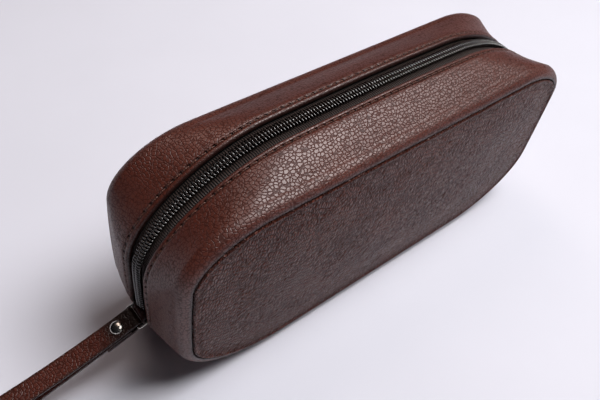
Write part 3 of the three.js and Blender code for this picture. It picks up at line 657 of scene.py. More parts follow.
class BagSeamSettings(bpy.types.PropertyGroup):
    stitch_pitch: size_property(
        name="Stitch pitch", description="Distance from one needle hole to the next",
        default=4 * MM, min=1 * MM)
    stitch_inset: size_property(
        name="Stitch inset", description="Distance of the topstitching from the lip of the zip",
        default=2.4 * MM, min=1 * MM)
    thread_width: size_property(
        name="Thread width", description="Thickness of the sewing thread",
        default=0.55 * MM, min=0.1 * MM)
    groove: size_property(
        name="Stitch groove", description="How deep the stitches draw the leather in",
        default=0.6 * MM, min=0)
    bead: size_property(
        name="Bead height", description="Height of the turned seam's bead round the panels",
        default=0.7 * MM, min=0)


class BagZipSettings(bpy.types.PropertyGroup):
    coil_pitch: size_property(
        name="Coil pitch", description="Distance from one turn of the coil to the next",
        default=1.5 * MM, min=0.5 * MM)
    rib_pitch: size_property(
        name="Rib pitch", description="Distance from one woven rib of the tape to the next",
        default=1.03 * MM, min=0.4 * MM)
    filament: size_property(
        name="Filament width", description="Thickness of the coil's nylon filament",
        default=0.68 * MM, min=0.2 * MM)


class BagStageSettings(bpy.types.PropertyGroup):
    floor_colour: bpy.props.FloatVectorProperty(
        name="Floor colour", description="Colour of the backdrop paper", size=4,
        default=colour("#ebebf6"), min=0, max=1, subtype="COLOR")
    key_power: power_property(
        name="Softbox power", description="Power of the softbox high on the right", default=16)
    fill_power: power_property(
        name="Fill power", description="Power of the soft light in front", default=0.5)
    wall_power: power_property(
        name="Wall power", description="Power of the warm light that comes off a wall",
        default=2.0)
    sky_strength: bpy.props.FloatProperty(
        name="Room light", description="Strength of the even light of the room", default=0.05,
        min=0)


# Pieces

# The bag's halves: side, name, and the body that a piece rides on unless it bends
HALVES = (-1, "front", None), (1, "back", "back_half")


def lip_side(side):
    """Place of the lip's edge on one side of the zip."""
    return ZIP_LINE + side * ZIP_OPENING / 2


def closing(side, turn, inset):
    """How far the back lip has worked in over the tape: most along the shut zip, nothing by the
    slider, and less with the distance from the lip."""
    shut = smooth((TURNS - OPEN_TURNS - turn) / OPEN_FADE)
    return (side > 0) * LIP_CLOSING * shut * smooth(1 - inset / LIP_CLOSING_REACH)


def gusset_sections(side, inset):
    """Paths across one half of the gusset as (y, depth) points: from the seam allowance round
    the rolled edge to the lip, which stands up beside the stitching; round the folded lip and
    back below it; and from the lip's place to the bag's middle where there is no zip."""
    half, lip = DEPTH / 2, abs(lip_side(side))
    allowance = np.array([half, SEAM_INSET]) - np.array([(4, -0.55), (1.4, -0.5), (0.5, -0.3)]) * MM
    angle = np.linspace(QUARTER, 0, 12)
    roll = np.stack([half - EDGE_ROLL + EDGE_ROLL * np.sin(angle),
                     SEAM_INSET - SEAM_INSET * np.cos(angle)], 1)
    near = lip + inset + np.array([4.6, 3.4, 2.4, 1.7, 1.15, 0.7, 0.35, 0, -0.35, -0.7]) * MM
    across = np.concatenate([np.linspace(half - EDGE_ROLL, near[0], 15)[1:-1], near])
    rise = LIP_RISE * np.clip((inset + lip - across) / inset, 0, 1)
    first = np.concatenate([allowance, roll, np.stack([across, -rise], 1)])
    turned = np.linspace(0, math.pi, 11)
    nose = np.stack([lip + LEATHER - LEATHER * np.sin(turned),
                     LEATHER - LEATHER * np.cos(turned) - LIP_RISE * np.cos(turned / 2) ** 2], 1)
    below = np.array([[lip + LIP_TURN_IN * share, 2 * LEATHER] for share in (0.4, 0.7, 1)])
    middle = np.linspace(first[-1, 0], side * ZIP_LINE, 8)
    fold = np.concatenate([first[-1:], nose, below])
    return first, fold, np.stack([middle, 0 * middle], 1)


def inward(path, thickness):
    """The path moved to its inner side by the thickness, square to its slope."""
    along = directions(path)
    return path + thickness * np.stack([along[:, 1], -along[:, 0]], 1)


def sag_of(turn, y, softness):
    """How far soft leather stands out of its true form: slow waves along and across the gusset,
    none at its edges, nor where the bag stands on it."""
    x, z = outline(turn, zip_weight(y))
    envelope = np.sin(math.pi * np.clip((np.abs(y) - SAG_INSET) / SAG_WIDTH, 0, 1))
    envelope = envelope * smooth((z - 1 * MM) / (9 * MM))
    waves = (np.sin(x / (15 * MM) + 0.8) * np.sin(z / (19 * MM) + y / (11 * MM) + 0.3)
             + 0.7 * np.sin(x / (31 * MM) - z / (23 * MM) + 2.1))
    return softness * envelope * waves


def gusset_leather(side, half, body, replaced):
    """One half of the gusset as a single skin, swept along the outline all the way round: over
    the zipped stretch its edge folds under as the lip, and below the zip's ends it runs on to
    the middle of the bag. The stitches draw it in, most at each needle hole."""
    seams = bpy.context.scene.bag_seams
    softness = bpy.context.scene.bag_finish.softness
    first, fold, centre = gusset_sections(side, seams.stitch_inset)
    lip = abs(lip_side(side))
    from_lip = first[:, 0] - lip
    level = first[:, 1] <= 0
    groove = bell(from_lip - seams.stitch_inset, GROOVE_WIDTH) * level
    puff = bell(from_lip - seams.stitch_inset - PUFF_PLACE, PUFF_WIDTH) * level
    # Painted shade on the rolled edge as it turns down into the seam's groove
    edge = smooth((first[:, 1] - 0.6 * SEAM_INSET) / (0.4 * SEAM_INSET))

    zipped, distances = stitched_turns(side, seams)
    turns, base = all_round(zipped, side, BASE_STEP)
    rows, top = len(turns), np.arange(len(zipped))
    along, fade, dimple = np.zeros(rows), np.zeros(rows), np.ones(rows)
    along[top] = distances
    fade[top] = np.minimum(1, np.minimum(distances, distances[::-1]) / STITCH_FADE)
    wave = np.cos(ROUND * distances / seams.stitch_pitch)
    dimple[top] = 1 - DIMPLE + DIMPLE * wave
    zipped_share = smooth(along / SEAM_FADE)

    outer, inner, indices = [], [], []

    def add_part(path, dents, picked, shared):
        """Adds both sides of the skin along one path, less the points shared with the last."""
        turn = turns[picked][:, None]
        for side_path, sheets in ((path, outer), (inward(path, LEATHER * SKIVED), inner)):
            across, depth = side_path[shared:].T
            flush = side * across
            sag = np.where(depth < 0.5 * SEAM_INSET, sag_of(turn, flush, softness), 0)
            drawn = closing(side, turn, np.maximum(0, across - lip))
            y = flush - side * zipped_share[picked][:, None] * drawn
            sheets.append(skin(turn, y, depth + dents - sag).reshape(-1, 3))
        start = sum(map(len, outer[:-1]))
        indices.append(numbered(start, len(picked), len(path) - shared))

    dent = (seams.groove * groove * (fade * dimple)[:, None]
            - PUFF_HEIGHT * puff * fade[:, None])
    # The lip's raised edge settles to the skin where there is no zip
    settled = dent + np.minimum(first[:, 1], 0) * (fade[:, None] - 1)
    add_part(first, settled, np.arange(rows), 0)
    for path, picked in ((fold, top), (centre, base)):
        add_part(path, dent[picked, -1:] * np.exp(-np.arange(1, len(path)) / 2), picked, 1)
    main, folds, middle = indices
    quads = np.concatenate([
        grid_quads(main, closed_rows=True),
        grid_quads(np.concatenate([main[top, -1:], folds], 1)),
        grid_quads(np.concatenate([main[base, -1:], middle], 1)),
    ])
    points, faces = shell(np.concatenate(outer), np.concatenate(inner), quads)

    def spread(*values):
        """An attribute's values on the three parts, the same on both sides."""
        parts = [np.broadcast_to(v, index.shape).ravel() for v, index in zip(values, indices)]
        return np.tile(np.concatenate(parts), 2)

    pressed = smooth((seams.stitch_inset + 0.6 * MM - from_lip) / MM) * fade[:, None]
    # The edge attribute carries painted shade: in the seam's groove, and on the lip's folded nose and its
    # underside
    piece(f"{half}_gusset_leather", points, faces, "gusset", body, replaced,
          edge=spread(edge, smooth((np.arange(1, len(fold)) - 1.5) / 3), 0),
          along=spread(along[:, None], 0, 0), pressed=spread(pressed, 1, 0),
          from_lip=spread(np.where(fade[:, None] > 0, from_lip, 1), 1, 1))


class BAG_OT_gusset(bpy.types.Operator):
    """Builds the two halves of the pebbled leather gusset, with the folded lips of the zip"""

    bl_idname = "cosmetic_bag.gusset"
    bl_label = "Gusset leather"

    def execute(self, context):
        for side, half, body in HALVES:
            bottom = ["bottom_gusset"] if side > 0 else []
            gusset_leather(side, half, body,
                           [f"{half}_gusset", f"{half}_gusset_padding", *bottom])
        return {"FINISHED"}


class BAG_OT_topstitch(bpy.types.Operator):
    """Sews the topstitching along both lips: each stitch dips into its needle holes"""

    bl_idname = "cosmetic_bag.topstitch"
    bl_label = "Topstitching"

    def execute(self, context):
        seams = context.scene.bag_seams
        for side, half, body in HALVES:
            points, quads, caps = self.stitches(side, seams)
            piece(f"{half}_topstitch", points, quads, "thread", body, (), caps, angle=60)
        return {"FINISHED"}

    def stitches(self, side, seams):
        """Short tubes, one a stitch, that rise out of the groove by the root of a sine, and are
        thinner where they enter the leather."""
        turns, distances = stitched_turns(side, seams)
        count = (len(turns) - 1) // STITCH_STEPS
        share = np.linspace(0.08, 0.92, 7)
        places = (np.arange(1, count - 1)[:, None] + share) * seams.stitch_pitch
        scale = distances[-1] / (count * seams.stitch_pitch)
        turn = np.interp(places * scale, distances, turns)
        rise = np.sin(math.pi * share) ** 0.5
        depth = mix(STITCH_SINK, seams.groove * 0.45 - 0.28 * seams.thread_width, rise)
        inset = seams.stitch_inset
        y = lip_side(side) + side * inset - side * smooth(places / SEAM_FADE) * closing(
            side, turn, inset)
        centre = skin(turn, y, depth)
        out = skin(turn, y, depth - MM) - centre
        out /= np.linalg.norm(out, axis=2)[..., None]
        aside = np.cross(directions(centre), out)
        angle = (np.arange(6) * ROUND / 6)[:, None]
        radius = seams.thread_width / 2 * (0.55 + 0.45 * rise)
        ring = np.cos(angle) * aside[:, :, None] + np.sin(angle) * out[:, :, None]
        points = centre[:, :, None] + radius[:, None, None] * ring
        index = np.arange(points.size // 3).reshape(points.shape[:3])
        quads = np.concatenate([grid_quads(one, closed_columns=True) for one in index])
        return points.reshape(-1, 3), quads, [*index[:, 0, ::-1], *index[:, -1]]


def panel_leather(side, half):
    """A side panel over its foam board: rings from the seam's groove over the turned bead, then
    shrunk in even shares to the middle. The face rises by one less the share squared, with slow
    swells, and the back lies a fixed depth below it."""
    bead = bpy.context.scene.bag_seams.bead
    softness = bpy.context.scene.bag_finish.softness
    middle = HEIGHT / 2
    turns, distances = spaced_turns(0, TURNS, side * DEPTH / 2, PANEL_STEP)
    turns, distances = turns[:-1], distances[:-1]
    profile = curve_through([
        (0.3 * MM, -2.2 * MM), (0.28 * MM, -1.2 * MM), (0.3 * MM, -0.4 * MM),
        (0.42 * MM, 0.3 * bead), (0.7 * MM, 0.82 * bead), (1.1 * MM, bead),
        (1.6 * MM, 0.86 * bead), (2.3 * MM, 0.58 * bead), (3.3 * MM, 0.46 * bead),
        (4.8 * MM, 0.7 * bead),
    ], 3)
    share = np.linspace(1, 0, 34)[1:-1, None]

    def bulge(x, z, share):
        swell = softness * 0.8 * smooth((1 - share) * 4) * (
            np.sin(x / (23 * MM) + 1.1) * np.sin(z / (17 * MM) + 0.4)
            + 0.5 * np.sin(x / (11 * MM) - z / (13 * MM)))
        return profile[-1, 1] + (PANEL_BULGE - profile[-1, 1]) * (1 - share**2) + swell

    x, z = moved_in(turns, 0, SEAM_INSET + SEAM_GAP + profile[:, :1])
    inner_x, inner_z = x[-1] * share, middle + (z[-1] - middle) * share
    rise = np.concatenate([np.repeat(profile[:, 1:], len(turns), 1),
                           bulge(inner_x, inner_z, share)])
    x, z = np.concatenate([x, inner_x]), np.concatenate([z, inner_z])
    tip = np.array([[0, side * (DEPTH / 2 + bulge(0, middle, 0)), middle]])
    face = np.stack([x, side * (DEPTH / 2 + rise), z], -1)
    back = np.stack([x, side * (DEPTH / 2 + np.maximum(rise, 0) - PAD_BACK), z], -1)
    index = numbered(0, *x.shape)
    quads = np.concatenate([grid_quads(index, closed_columns=True), fan(index[-1][::-1], x.size)])
    points, faces = shell(np.concatenate([face.reshape(-1, 3), tip]),
                          np.concatenate([back.reshape(-1, 3), tip - [[0, side * PAD_BACK, 0]]]),
                          quads)
    inset = np.append(profile[:, 0], np.full(len(share), SEAM_FADE))[:, None]

    def spread(values):
        values = np.broadcast_to(values, x.shape).ravel()
        return np.tile(np.append(values, values[-1]), 2)

    # The edge attribute carries painted shade at the bottom of the seam's groove
    made = piece(f"{half}_panel_leather", points, faces, "panel", f"{half}_half",
                 [f"{half}_panel", f"{half}_panel_stiffener"],
                 edge=spread(smooth((0.45 * MM - inset) / (0.2 * MM))),
                 from_seam=spread(inset), along=spread(distances))


class BAG_OT_panels(bpy.types.Operator):
    """Builds the two padded side panels behind their turned seams"""

    bl_idname = "cosmetic_bag.panels"
    bl_label = "Side panels"

    def execute(self, context):
        for side, half, _ in HALVES:
            panel_leather(side, half)
        return {"FINISHED"}


def zip_rise(distance):
    """How far the shut zip is pushed up out of its true line: nothing by the slider, then more
    with the distance from it."""
    return ZIP_RISE * smooth(distance / ZIP_RISE_REACH)


class BAG_OT_zip(bpy.types.Operator):
    """Builds the woven tapes and the two interlocking nylon coils of the zip"""

    bl_idname = "cosmetic_bag.zip"
    bl_label = "Zip tapes and coils"

    def execute(self, context):
        for side, half, body in HALVES:
            self.tape(side, half, body, context.scene.bag_zip.rib_pitch)
            self.coil(side, half, body, context.scene.bag_zip)
        return {"FINISHED"}

    def tape(self, side, half, body, rib_pitch):
        """Strip along the zip, from below the coil to under the turned-in lip. Its woven ribs
        are a sine of the distance along, and fade below the coil and the lip."""
        turns, distances = spaced_turns(
            turn_at_height(TAPE_END), TURNS - ZIP_TURN, ZIP_LINE, rib_pitch / 5)
        reach = np.array([1.8, 2.6, 3.2, 3.6, 4.1, 4.6, 5.1, 5.6, 6.2, 7, 8.5, 11, 13.8]) * MM
        wave = np.sin(ROUND * distances[:, None] / rib_pitch)
        shown = (smooth((reach - RIB_SHOWN[0]) / (0.6 * MM))
                 * smooth((RIB_SHOWN[1] - reach) / (0.5 * MM)))
        rib = RIB_HEIGHT * (1 + wave) * shown
        rise = zip_rise(distances[-1] - distances)[:, None] * smooth((6 * MM - reach) / (2 * MM))
        y = ZIP_LINE + side * reach
        outer = skin(turns[:, None], y, TAPE_DEPTH - rib - rise)
        inner = skin(turns[:, None], y, TAPE_DEPTH + TAPE_THICKNESS - rise)
        index = numbered(0, *outer.shape[:2])
        points, faces = shell(outer.reshape(-1, 3), inner.reshape(-1, 3), grid_quads(index))
        tape = piece(f"{half}_tape", points, faces, "tape", body, [f"{half}_zip_tape"], angle=70,
                     along=np.tile(np.repeat(distances, len(reach)), 2),
                     across=np.tile(reach, 2 * len(turns)))

    def coil(self, side, half, body, sizes):
        """A helix along the zip with a diamond-like turn, wound the other way on the other side,
        thicker at the knuckle of the turn. Its heads cross the middle so that they stand between
        the other side's, half a pitch on."""
        turns, distances = spaced_turns(
            turn_at_height(TAPE_END), TURNS - ZIP_TURN, ZIP_LINE, 0.5 * MM)
        end = distances[-1] - (SLIDER_MIDDLE - skin(TURNS - ZIP_TURN, ZIP_LINE, 0)[2])
        count = int(end / sizes.coil_pitch) - 1
        phase = np.arange(count * COIL_STEPS + 1) / COIL_STEPS
        place = (phase + COIL_START + (0.0 if side > 0 else 0.5)) * sizes.coil_pitch
        radius = sizes.filament / 2
        heel, head = COIL_WIDTH / 2 - radius, -(COIL_CROSSING - radius)
        top, low = COIL_TOP + radius, COIL_BOTTOM - radius

        def knuckle(value):
            return np.sign(value) * np.abs(value) ** COIL_KNUCKLE

        angle = ROUND * phase
        reach = (heel + head) / 2 + (heel - head) / 2 * knuckle(np.cos(angle))
        depth = (top + low) / 2 - side * (low - top) / 2 * knuckle(np.sin(angle))
        before, turn, after = (np.interp(place + step * MM, distances, turns)
                               for step in (-0.1, 0, 0.1))
        path = skin(turn, ZIP_LINE + side * reach, depth - zip_rise(end - place))
        along = skin(after, ZIP_LINE, (top + low) / 2) - skin(before, ZIP_LINE, (top + low) / 2)
        swaged = radius * (1 + COIL_SWAGE * np.maximum(0, side * np.sin(angle)) ** 4)
        points, quads, caps = tube(path, swaged, 6, up=along)
        piece(f"{half}_coil", points, quads, "coil", body, [f"{half}_zip_coil"], caps, angle=80)


class BAG_OT_linings(bpy.types.Operator):
    """Builds the two halves of the cloth lining, from the zip round to the panels' middles"""

    bl_idname = "cosmetic_bag.linings"
    bl_label = "Linings"

    def execute(self, context):
        for side, half, body in HALVES:
            base = ["base_lining"] if side > 0 else []
            self.lining(side, half, body, [f"{half}_panel_lining", f"{half}_gusset_lining", *base])
        return {"FINISHED"}

    def lining(self, side, half, body, replaced):
        """Rings from the zip across the gusset, round a soft corner and over the panel's back,
        shrunk to its middle; below the zip's ends they start at the bag's middle."""
        zipped, _ = spaced_turns(ZIP_TURN, TURNS - ZIP_TURN, side * BOTTOM_LINE, LINING_STEP)
        turns, base = all_round(zipped, side, LINING_STEP)
        rows = len(turns)
        near_edge = abs(ZIP_LINE + side * LINING_EDGE)
        gusset_y = np.linspace(near_edge, DEPTH / 2 - EDGE_ROLL - 1 * MM, 9)
        to_zip = np.linspace(side * ZIP_LINE, near_edge, 5)[:-1]
        corner = np.array([(5.2, -5.4), (6.4, -4.0), (8.0, -3.2)]) * MM
        share = np.linspace(1, 0, 16)[1:-1]
        rise = 0.6 * MM + (PANEL_BULGE - 0.6 * MM) * (1 - share**2)

        def layer(extra):
            depth = LINING_DEPTH + extra
            x, z = moved_in(turns[:, None], 0, corner[:, 0] + extra)
            y = np.broadcast_to(side * (DEPTH / 2 + corner[:, 1] - extra), x.shape)
            oval = np.stack([
                x[:, -1:] * share,
                np.broadcast_to(side * (DEPTH / 2 + rise - depth), (rows, len(share))),
                HEIGHT / 2 + (z[:, -1:] - HEIGHT / 2) * share], -1)
            main = np.concatenate(
                [skin(turns[:, None], side * gusset_y, depth), np.stack([x, y, z], -1), oval], 1)
            tip = [[0, side * (DEPTH / 2 + PANEL_BULGE - depth), HEIGHT / 2]]
            middle = skin(turns[base][:, None], side * to_zip, depth)
            return np.concatenate([main.reshape(-1, 3), tip, middle.reshape(-1, 3)])

        main = numbered(0, rows, len(gusset_y) + len(corner) + len(share))
        middle = numbered(main.size + 1, len(base), len(to_zip))
        points, faces = shell(layer(0), layer(LINING_THICKNESS), np.concatenate([
            grid_quads(main, closed_rows=True),
            grid_quads(np.concatenate([middle, main[base, :1]], 1)),
            fan(main[:, -1], main.size)]))
        made = piece(f"{half}_lining", points, faces, "lining", body, replaced, angle=60)


class BAG_OT_hardware(bpy.types.Operator):
    """Builds the slider, its pull, the wire ring and the strap's rivet in plated nickel"""

    bl_idname = "cosmetic_bag.hardware"
    bl_label = "Metal pieces"

    def execute(self, context):
        self.softened("slider_body", "zip_slider", "slider")
        self.softened("slider_pull", "zip_pull", "pull")
        self.ring()
        self.rivet()
        board = frame["nodes"]["base_board"].data.materials
        board.clear()
        board.append(material_of("board"))
        return {"FINISHED"}

    def softened(self, source, name, body):
        """The frame's own piece with its flats joined and its edges rounded by tumbling."""
        mesh = frame["nodes"][source].data.copy()
        mesh.name = name
        for attribute in [a.name for a in mesh.attributes if a.name.startswith("_")]:
            mesh.attributes.remove(mesh.attributes[attribute])
        work = bmesh.new()
        work.from_mesh(mesh)
        bmesh.ops.remove_doubles(work, verts=work.verts, dist=0.001 * MM)
        bmesh.ops.dissolve_limit(
            work, angle_limit=math.radians(2), verts=work.verts, edges=work.edges)
        work.to_mesh(mesh)
        work.free()
        mesh.materials.clear()
        mesh.shade_smooth()
        bevel = placed(name, mesh, "nickel", body, [source]).modifiers.new("Edges", "BEVEL")
        bevel.width, bevel.segments = TUMBLED_EDGE, 2
        bevel.limit_method, bevel.angle_limit = "ANGLE", math.radians(35)
        bevel.harden_normals = True

    def ring(self):
        """Wire bent to a rectangle: four quarter circles of the wire's own width in radius, in
        the plane that the ring leans to."""
        across, outer = (RING_WIDTH - RING_WIRE) / 2 - RING_WIRE, RING_WIRE - RING_REACH
        centres = np.array([(-RING_WIRE, across), (outer, across), (outer, -across),
                            (-RING_WIRE, -across)])
        angle = np.linspace(0, QUARTER, 7) + np.arange(4)[:, None] * QUARTER
        path = np.stack([centres[:, :1] + RING_WIRE * np.cos(angle),
                         centres[:, 1:] + RING_WIRE * np.sin(angle), 0 * angle], -1)
        tilt = np.array(Matrix.Rotation(-RING_TILT, 3, "Y"))
        path = path.reshape(-1, 3) @ tilt.T + [INNER_BAR[0], ZIP_LINE, INNER_BAR[1]]
        points, quads, _ = tube(path, RING_WIRE / 2, 14, up=(0, 0, 1), closed=True)
        piece("wire_ring", points, quads, "nickel", "ring", ["strap_ring"])

    def rivet(self):
        """Lathed cap and post: a profile of radius and height turned about the rivet's axis."""
        fall = upper_run(RIVET_PLACE - RIVET_CAP) - upper_run(RIVET_PLACE + RIVET_CAP)
        turn = np.array(Matrix.Rotation(-math.atan2(fall, 2 * RIVET_CAP), 3, "Y"))
        seat = [OUTER_BAR[0] - RIVET_PLACE, ZIP_LINE, upper_run(RIVET_PLACE)]
        radius = RIVET_CAP / 2
        low = STRAP_LEATHER / 2 + 0.02 * MM
        foot = -(STRAP_LEATHER / 2 + 2 * STRAP_PITCH + 0.6 * MM)
        cap = curve_through([
            (radius * 0.96, low), (radius, low + 0.22 * MM), (radius * 0.97, low + 0.5 * MM),
            (radius * 0.86, low + 0.9 * MM), (radius * 0.66, low + 1.25 * MM),
            (radius * 0.4, low + 1.48 * MM), (radius * 0.12, low + RIVET_DOME + 0.28 * MM)], 4)
        base = np.concatenate([
            [(radius * 0.3, foot - RIVET_BASE)],
            curve_through([(radius * 0.9, foot - RIVET_BASE), (radius, foot - RIVET_BASE / 2),
                           (radius * 0.9, foot)], 4),
            [(RIVET_POST / 2, foot), (RIVET_POST / 2, STRAP_LEATHER / 2)]])
        angle = np.arange(RIVET_SIDES) * ROUND / RIVET_SIDES
        for name, profile, replaced in (("rivet_dome", cap, "rivet_cap"),
                                        ("rivet_stem", base, "rivet_post")):
            out, up = profile[:, :1], profile[:, 1:]
            points = np.stack([out * np.cos(angle), out * np.sin(angle), up + 0 * angle], -1)
            index = numbered(0, len(profile), RIVET_SIDES)
            piece(name, points.reshape(-1, 3) @ turn.T + seat,
                  grid_quads(index, closed_columns=True), "nickel", "strap", [replaced],
                  [index[0][::-1], index[-1]])


def upper_run(reach):
    """Height of the strap's upper run at a distance from the ring: from the top of the fold
    down to the loop, by the ease power of the share still to go."""
    share = (1 - np.asarray(reach) / STRAP_LENGTH) ** UPPER_EASE
    return mix(STRAP_LOOP - STRAP_LEATHER / 2, OUTER_BAR[1] + STRAP_FOLD, share)


def lower_run(reach):
    """Height of the lower run, which sinks to the floor sooner."""
    share = (1 - np.asarray(reach) / STRAP_LENGTH) ** LOWER_EASE
    return mix(STRAP_LEATHER / 2, OUTER_BAR[1] + STRAP_FOLD - STRAP_PITCH - FOLD_GAP, share)


def arc(centre, radius, start, end, steps, fuller=0.0):
    """Arc about a centre in X and Z, its sides drawn out along X by a further distance."""
    angle = np.linspace(start, end, steps + 1)
    return np.stack([centre[0] + (radius + fuller) * np.cos(angle),
                     centre[1] + radius * np.sin(angle)], 1)


def band(path, thickness, width):
    """Strip along a path in X and Z with a rounded section through Y, and for each vertex how
    near it is to the cut edge."""
    half, rise, rounding = width / 2, thickness / 2, BAND_ROUNDING * thickness
    side = np.linspace(-(half - rounding), half - rounding, 9)
    corner = np.linspace(0, QUARTER, 4)[1:-1]
    top = np.stack([side, np.full(9, rise)], 1)
    bend = np.stack([half - rounding + rounding * np.sin(corner),
                     rise - rounding + rounding * np.cos(corner)], 1)
    cut = np.array([[half, rise - rounding], [half, rounding - rise]])
    right = np.concatenate([bend, cut, bend[::-1] * [1, -1]])
    across, up = np.concatenate([top, right, top[::-1] * [1, -1], -right]).T
    along = directions(path)
    x = path[:, :1] - along[:, 1:] * up
    z = path[:, 1:] + along[:, :1] * up
    points = np.stack([x, np.broadcast_to(ZIP_LINE + across, x.shape), z], -1).reshape(-1, 3)
    index = numbered(0, *x.shape)
    near_cut = smooth((np.abs(across) - (half - DYED_EDGE)) / DYE_FADE)
    edge = np.tile(near_cut, len(path))
    return points, grid_quads(index, closed_columns=True), [index[0][::-1], index[-1]], edge


class BAG_OT_strap(bpy.types.Operator):
    """Builds the folded wrist strap and the tab that holds its ring"""

    bl_idname = "cosmetic_bag.strap"
    bl_label = "Wrist strap and tab"

    def execute(self, context):
        self.strap()
        self.tab()
        return {"FINISHED"}

    def strap(self):
        """One strip: out along the lower run, round the loop, back along the upper run, round
        the ring's outer bar and in below the rivet."""
        def run(heights, reach):
            return np.stack([OUTER_BAR[0] - reach, heights(reach)], 1)

        low = run(lower_run, np.linspace(STRAP_FOLD + STRAP_PITCH, STRAP_LENGTH, RUN_STEPS))
        loop = arc((OUTER_BAR[0] - STRAP_LENGTH, STRAP_LOOP / 2),
                   (STRAP_LOOP - STRAP_LEATHER) / 2, -QUARTER, -3 * QUARTER, 20)[1:-1]
        high = run(upper_run, np.linspace(STRAP_LENGTH, RUN_START, RUN_STEPS))
        fold = arc(OUTER_BAR, STRAP_FOLD, QUARTER, -QUARTER, 16, FOLD_FULLNESS)
        turned = run(lower_run, np.linspace(STRAP_TURN_IN / 8, STRAP_TURN_IN, 10))
        turned[:, 1] -= STRAP_PITCH + FOLD_GAP / 2
        points, quads, caps, edge = band(
            np.concatenate([low, loop, high, fold, turned]), STRAP_LEATHER, STRAP_WIDTH)
        # Painted shade on the strap near the ring, in the shadow of the bag's end, on top of the real edge
        # dye
        painted_ring_shade = smooth((points[:, 0] - OUTER_BAR[0] + RING_SHADE_REACH) / RING_SHADE_FADE)
        piece("wrist_strap_leather", points, quads, "strap", "strap", ["wrist_strap"], caps,
              edge=np.maximum(edge, painted_ring_shade))

    def tab(self):
        """A strip folded round the ring's inner bar, its two tails one on the other."""
        radius = RING_WIRE / 2 + FOLD_GAP + TAB_LEATHER / 2
        tail = (TAB_LEATHER + FOLD_GAP) / 2
        x = np.linspace(INNER_BAR[0] + TAB_TAIL, INNER_BAR[0] + 2 * radius, 8)
        top, bottom = (np.stack([x, np.full(8, INNER_BAR[1] + up)], 1) for up in (tail, -tail))
        loop = arc(INNER_BAR, radius, QUARTER, 3 * QUARTER, 16, FOLD_FULLNESS)
        points, quads, caps, edge = band(
            np.concatenate([top, loop, bottom[::-1]]), TAB_LEATHER, TAB_WIDTH)
        piece("ring_tab_leather", points, quads, "strap", "back_half", ["strap_tab"], caps,
              edge=edge)


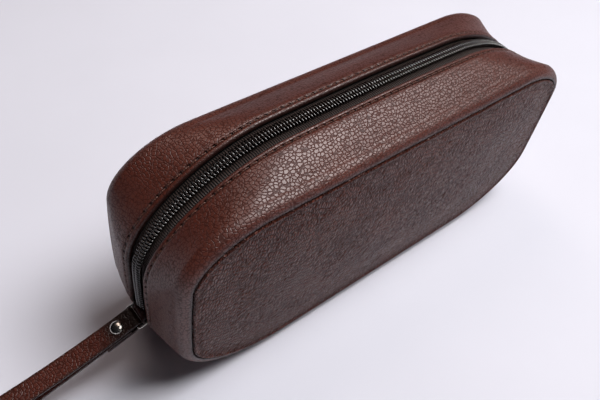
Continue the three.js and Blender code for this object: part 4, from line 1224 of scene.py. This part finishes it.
class BAG_OT_stage(bpy.types.Operator):
    """Sets up the camera, the pale floor and the soft light"""

    bl_idname = "cosmetic_bag.stage"
    bl_label = "Stage"

    def execute(self, context):
        stage = context.scene.bag_stage
        self.camera(context.scene)
        self.floor(context.scene, stage)
        self.lamps(context.scene, stage)
        self.room(context.scene, stage)
        return {"FINISHED"}

    def camera(self, scene):
        """Camera of the photograph: azimuth and elevation about the bag, rolled to the right."""
        azimuth, elevation, roll = (math.radians(v) for v in CAMERA_TURN)
        back = np.array([math.sin(azimuth) * math.cos(elevation),
                         -math.cos(azimuth) * math.cos(elevation), math.sin(elevation)])
        level = np.cross(-back, [0, 0, 1])
        level /= np.linalg.norm(level)
        up = np.cross(level, -back)
        right = math.cos(roll) * level + math.sin(roll) * up
        top = -math.sin(roll) * level + math.cos(roll) * up
        data = bpy.data.cameras.new("camera")
        data.sensor_width = SENSOR
        data.lens = FOCAL_PIXELS / PICTURE_WIDTH * SENSOR
        camera = bpy.data.objects.new("camera", data)
        turn = Matrix([right, top, back]).transposed().to_4x4()
        camera.matrix_world = Matrix.Translation(CAMERA_PLACE) @ turn
        scene.collection.objects.link(camera)
        scene.camera = camera

    def floor(self, scene, stage):
        """Square sheet of backdrop paper that the bag stands on."""
        mesh = bpy.data.meshes.new("floor")
        corners = [(x * FLOOR_REACH, y * FLOOR_REACH, 0)
                   for x, y in ((-1, -1), (1, -1), (1, 1), (-1, 1))]
        mesh.from_pydata(corners, [], [(0, 1, 2, 3)])
        mesh.materials.append(backdrop_paper(tuple(stage.floor_colour)))
        floor = bpy.data.objects.new("floor", mesh)
        scene.collection.objects.link(floor)

    def lamps(self, scene, stage):
        """A softbox high on the right, a fill in front, and the warm light that a wall throws
        back, all aimed at the bag."""
        for name, size, place, power, tint in (
            ("softbox", (0.56, 0.75), (0.42, -0.22, 1.13), stage.key_power, LAMP_WHITE),
            ("fill", (0.9, 0.9), (0.2, -1.1, 0.9), stage.fill_power, LAMP_WHITE),
            ("wall", (0.42, 0.6), (0.0, 0.64, 1.12), stage.wall_power, WALL_WHITE),
        ):
            data = bpy.data.lights.new(name, "AREA")
            data.shape = "RECTANGLE"
            data.size, data.size_y = size
            data.energy = power
            data.color = tint
            lamp = bpy.data.objects.new(name, data)
            turn = Vector(place).to_track_quat("Z", "Y").to_matrix().to_4x4()
            lamp.matrix_world = Matrix.Translation(place) @ turn
            scene.collection.objects.link(lamp)

    def room(self, scene, stage):
        """A dark room, a little lighter on the lamps' side. The camera, and low reflections in
        metal, see the paper sweep up behind."""
        scene.world = bpy.data.worlds.new("room")
        add = emptied(scene.world)
        direction = add("TexCoord", out="Generated")
        facing = add("VectorMath", {0: direction, 1: (0.2, -0.5, 0.84)}, "Value",
                     operation="DOT_PRODUCT")
        share = add("MapRange", {"Value": facing, "From Min": -0.2})
        walls = add("ValToRGB", {"Fac": share},
                    stops=[(0.0, "#2c2c32"), (0.5, "#6c6c76"), (1.0, "#b8b8c4")])
        glossy, clear, seen = (add("LightPath", out=f"Is {ray} Ray")
                               for ray in ("Glossy", "Transmission", "Camera"))
        mirrored = add("Math", {0: glossy, 1: clear}, operation="ADD")
        height = add("SeparateXYZ", {0: direction}, "Z")
        low = add("MapRange", {"Value": height, "From Min": 0.05, "From Max": 0.0})
        paper = add("Math", {0: mirrored, 1: low, 2: seen}, operation="MULTIPLY_ADD",
                    use_clamp=True)
        sweep = add("Background", {"Color": tuple(stage.floor_colour), "Strength": 1.0})
        lit = add("Background", {"Color": walls, "Strength": stage.sky_strength})
        add("OutputWorld", {"Surface": add("MixShader", {0: paper, 1: lit, 2: sweep})})


class BAG_PT_pieces(bpy.types.Panel):
    bl_idname = "BAG_PT_pieces"
    bl_label = "Cosmetic Bag"
    bl_space_type = "VIEW_3D"
    bl_region_type = "UI"
    bl_category = "Cosmetic Bag"

    def draw(self, context):
        for group, cls in SETTINGS.items():
            box = self.layout.box()
            for name in cls.__annotations__:
                box.prop(getattr(context.scene, group), name)
        for operator in OPERATORS:
            self.layout.operator(operator.bl_idname)


SETTINGS = {
    "bag_finish": BagFinishSettings,
    "bag_seams": BagSeamSettings,
    "bag_zip": BagZipSettings,
    "bag_stage": BagStageSettings,
}
OPERATORS = (BAG_OT_stage, BAG_OT_gusset, BAG_OT_topstitch, BAG_OT_panels, BAG_OT_zip,
             BAG_OT_linings, BAG_OT_strap, BAG_OT_hardware)


def register():
    for cls in (*SETTINGS.values(), *OPERATORS, BAG_PT_pieces):
        bpy.utils.register_class(cls)
    for group, cls in SETTINGS.items():
        setattr(bpy.types.Scene, group, bpy.props.PointerProperty(type=cls))


def unregister():
    for group in SETTINGS:
        delattr(bpy.types.Scene, group)
    for cls in (BAG_PT_pieces, *reversed(OPERATORS), *reversed(SETTINGS.values())):
        bpy.utils.unregister_class(cls)


def main():
    register()
    bpy.context.scene.view_settings.view_transform = "Standard"
    for operator in OPERATORS:
        group, name = operator.bl_idname.split(".")
        getattr(getattr(bpy.ops, group), name)()
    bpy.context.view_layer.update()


if __name__ == "__main__":
    main()
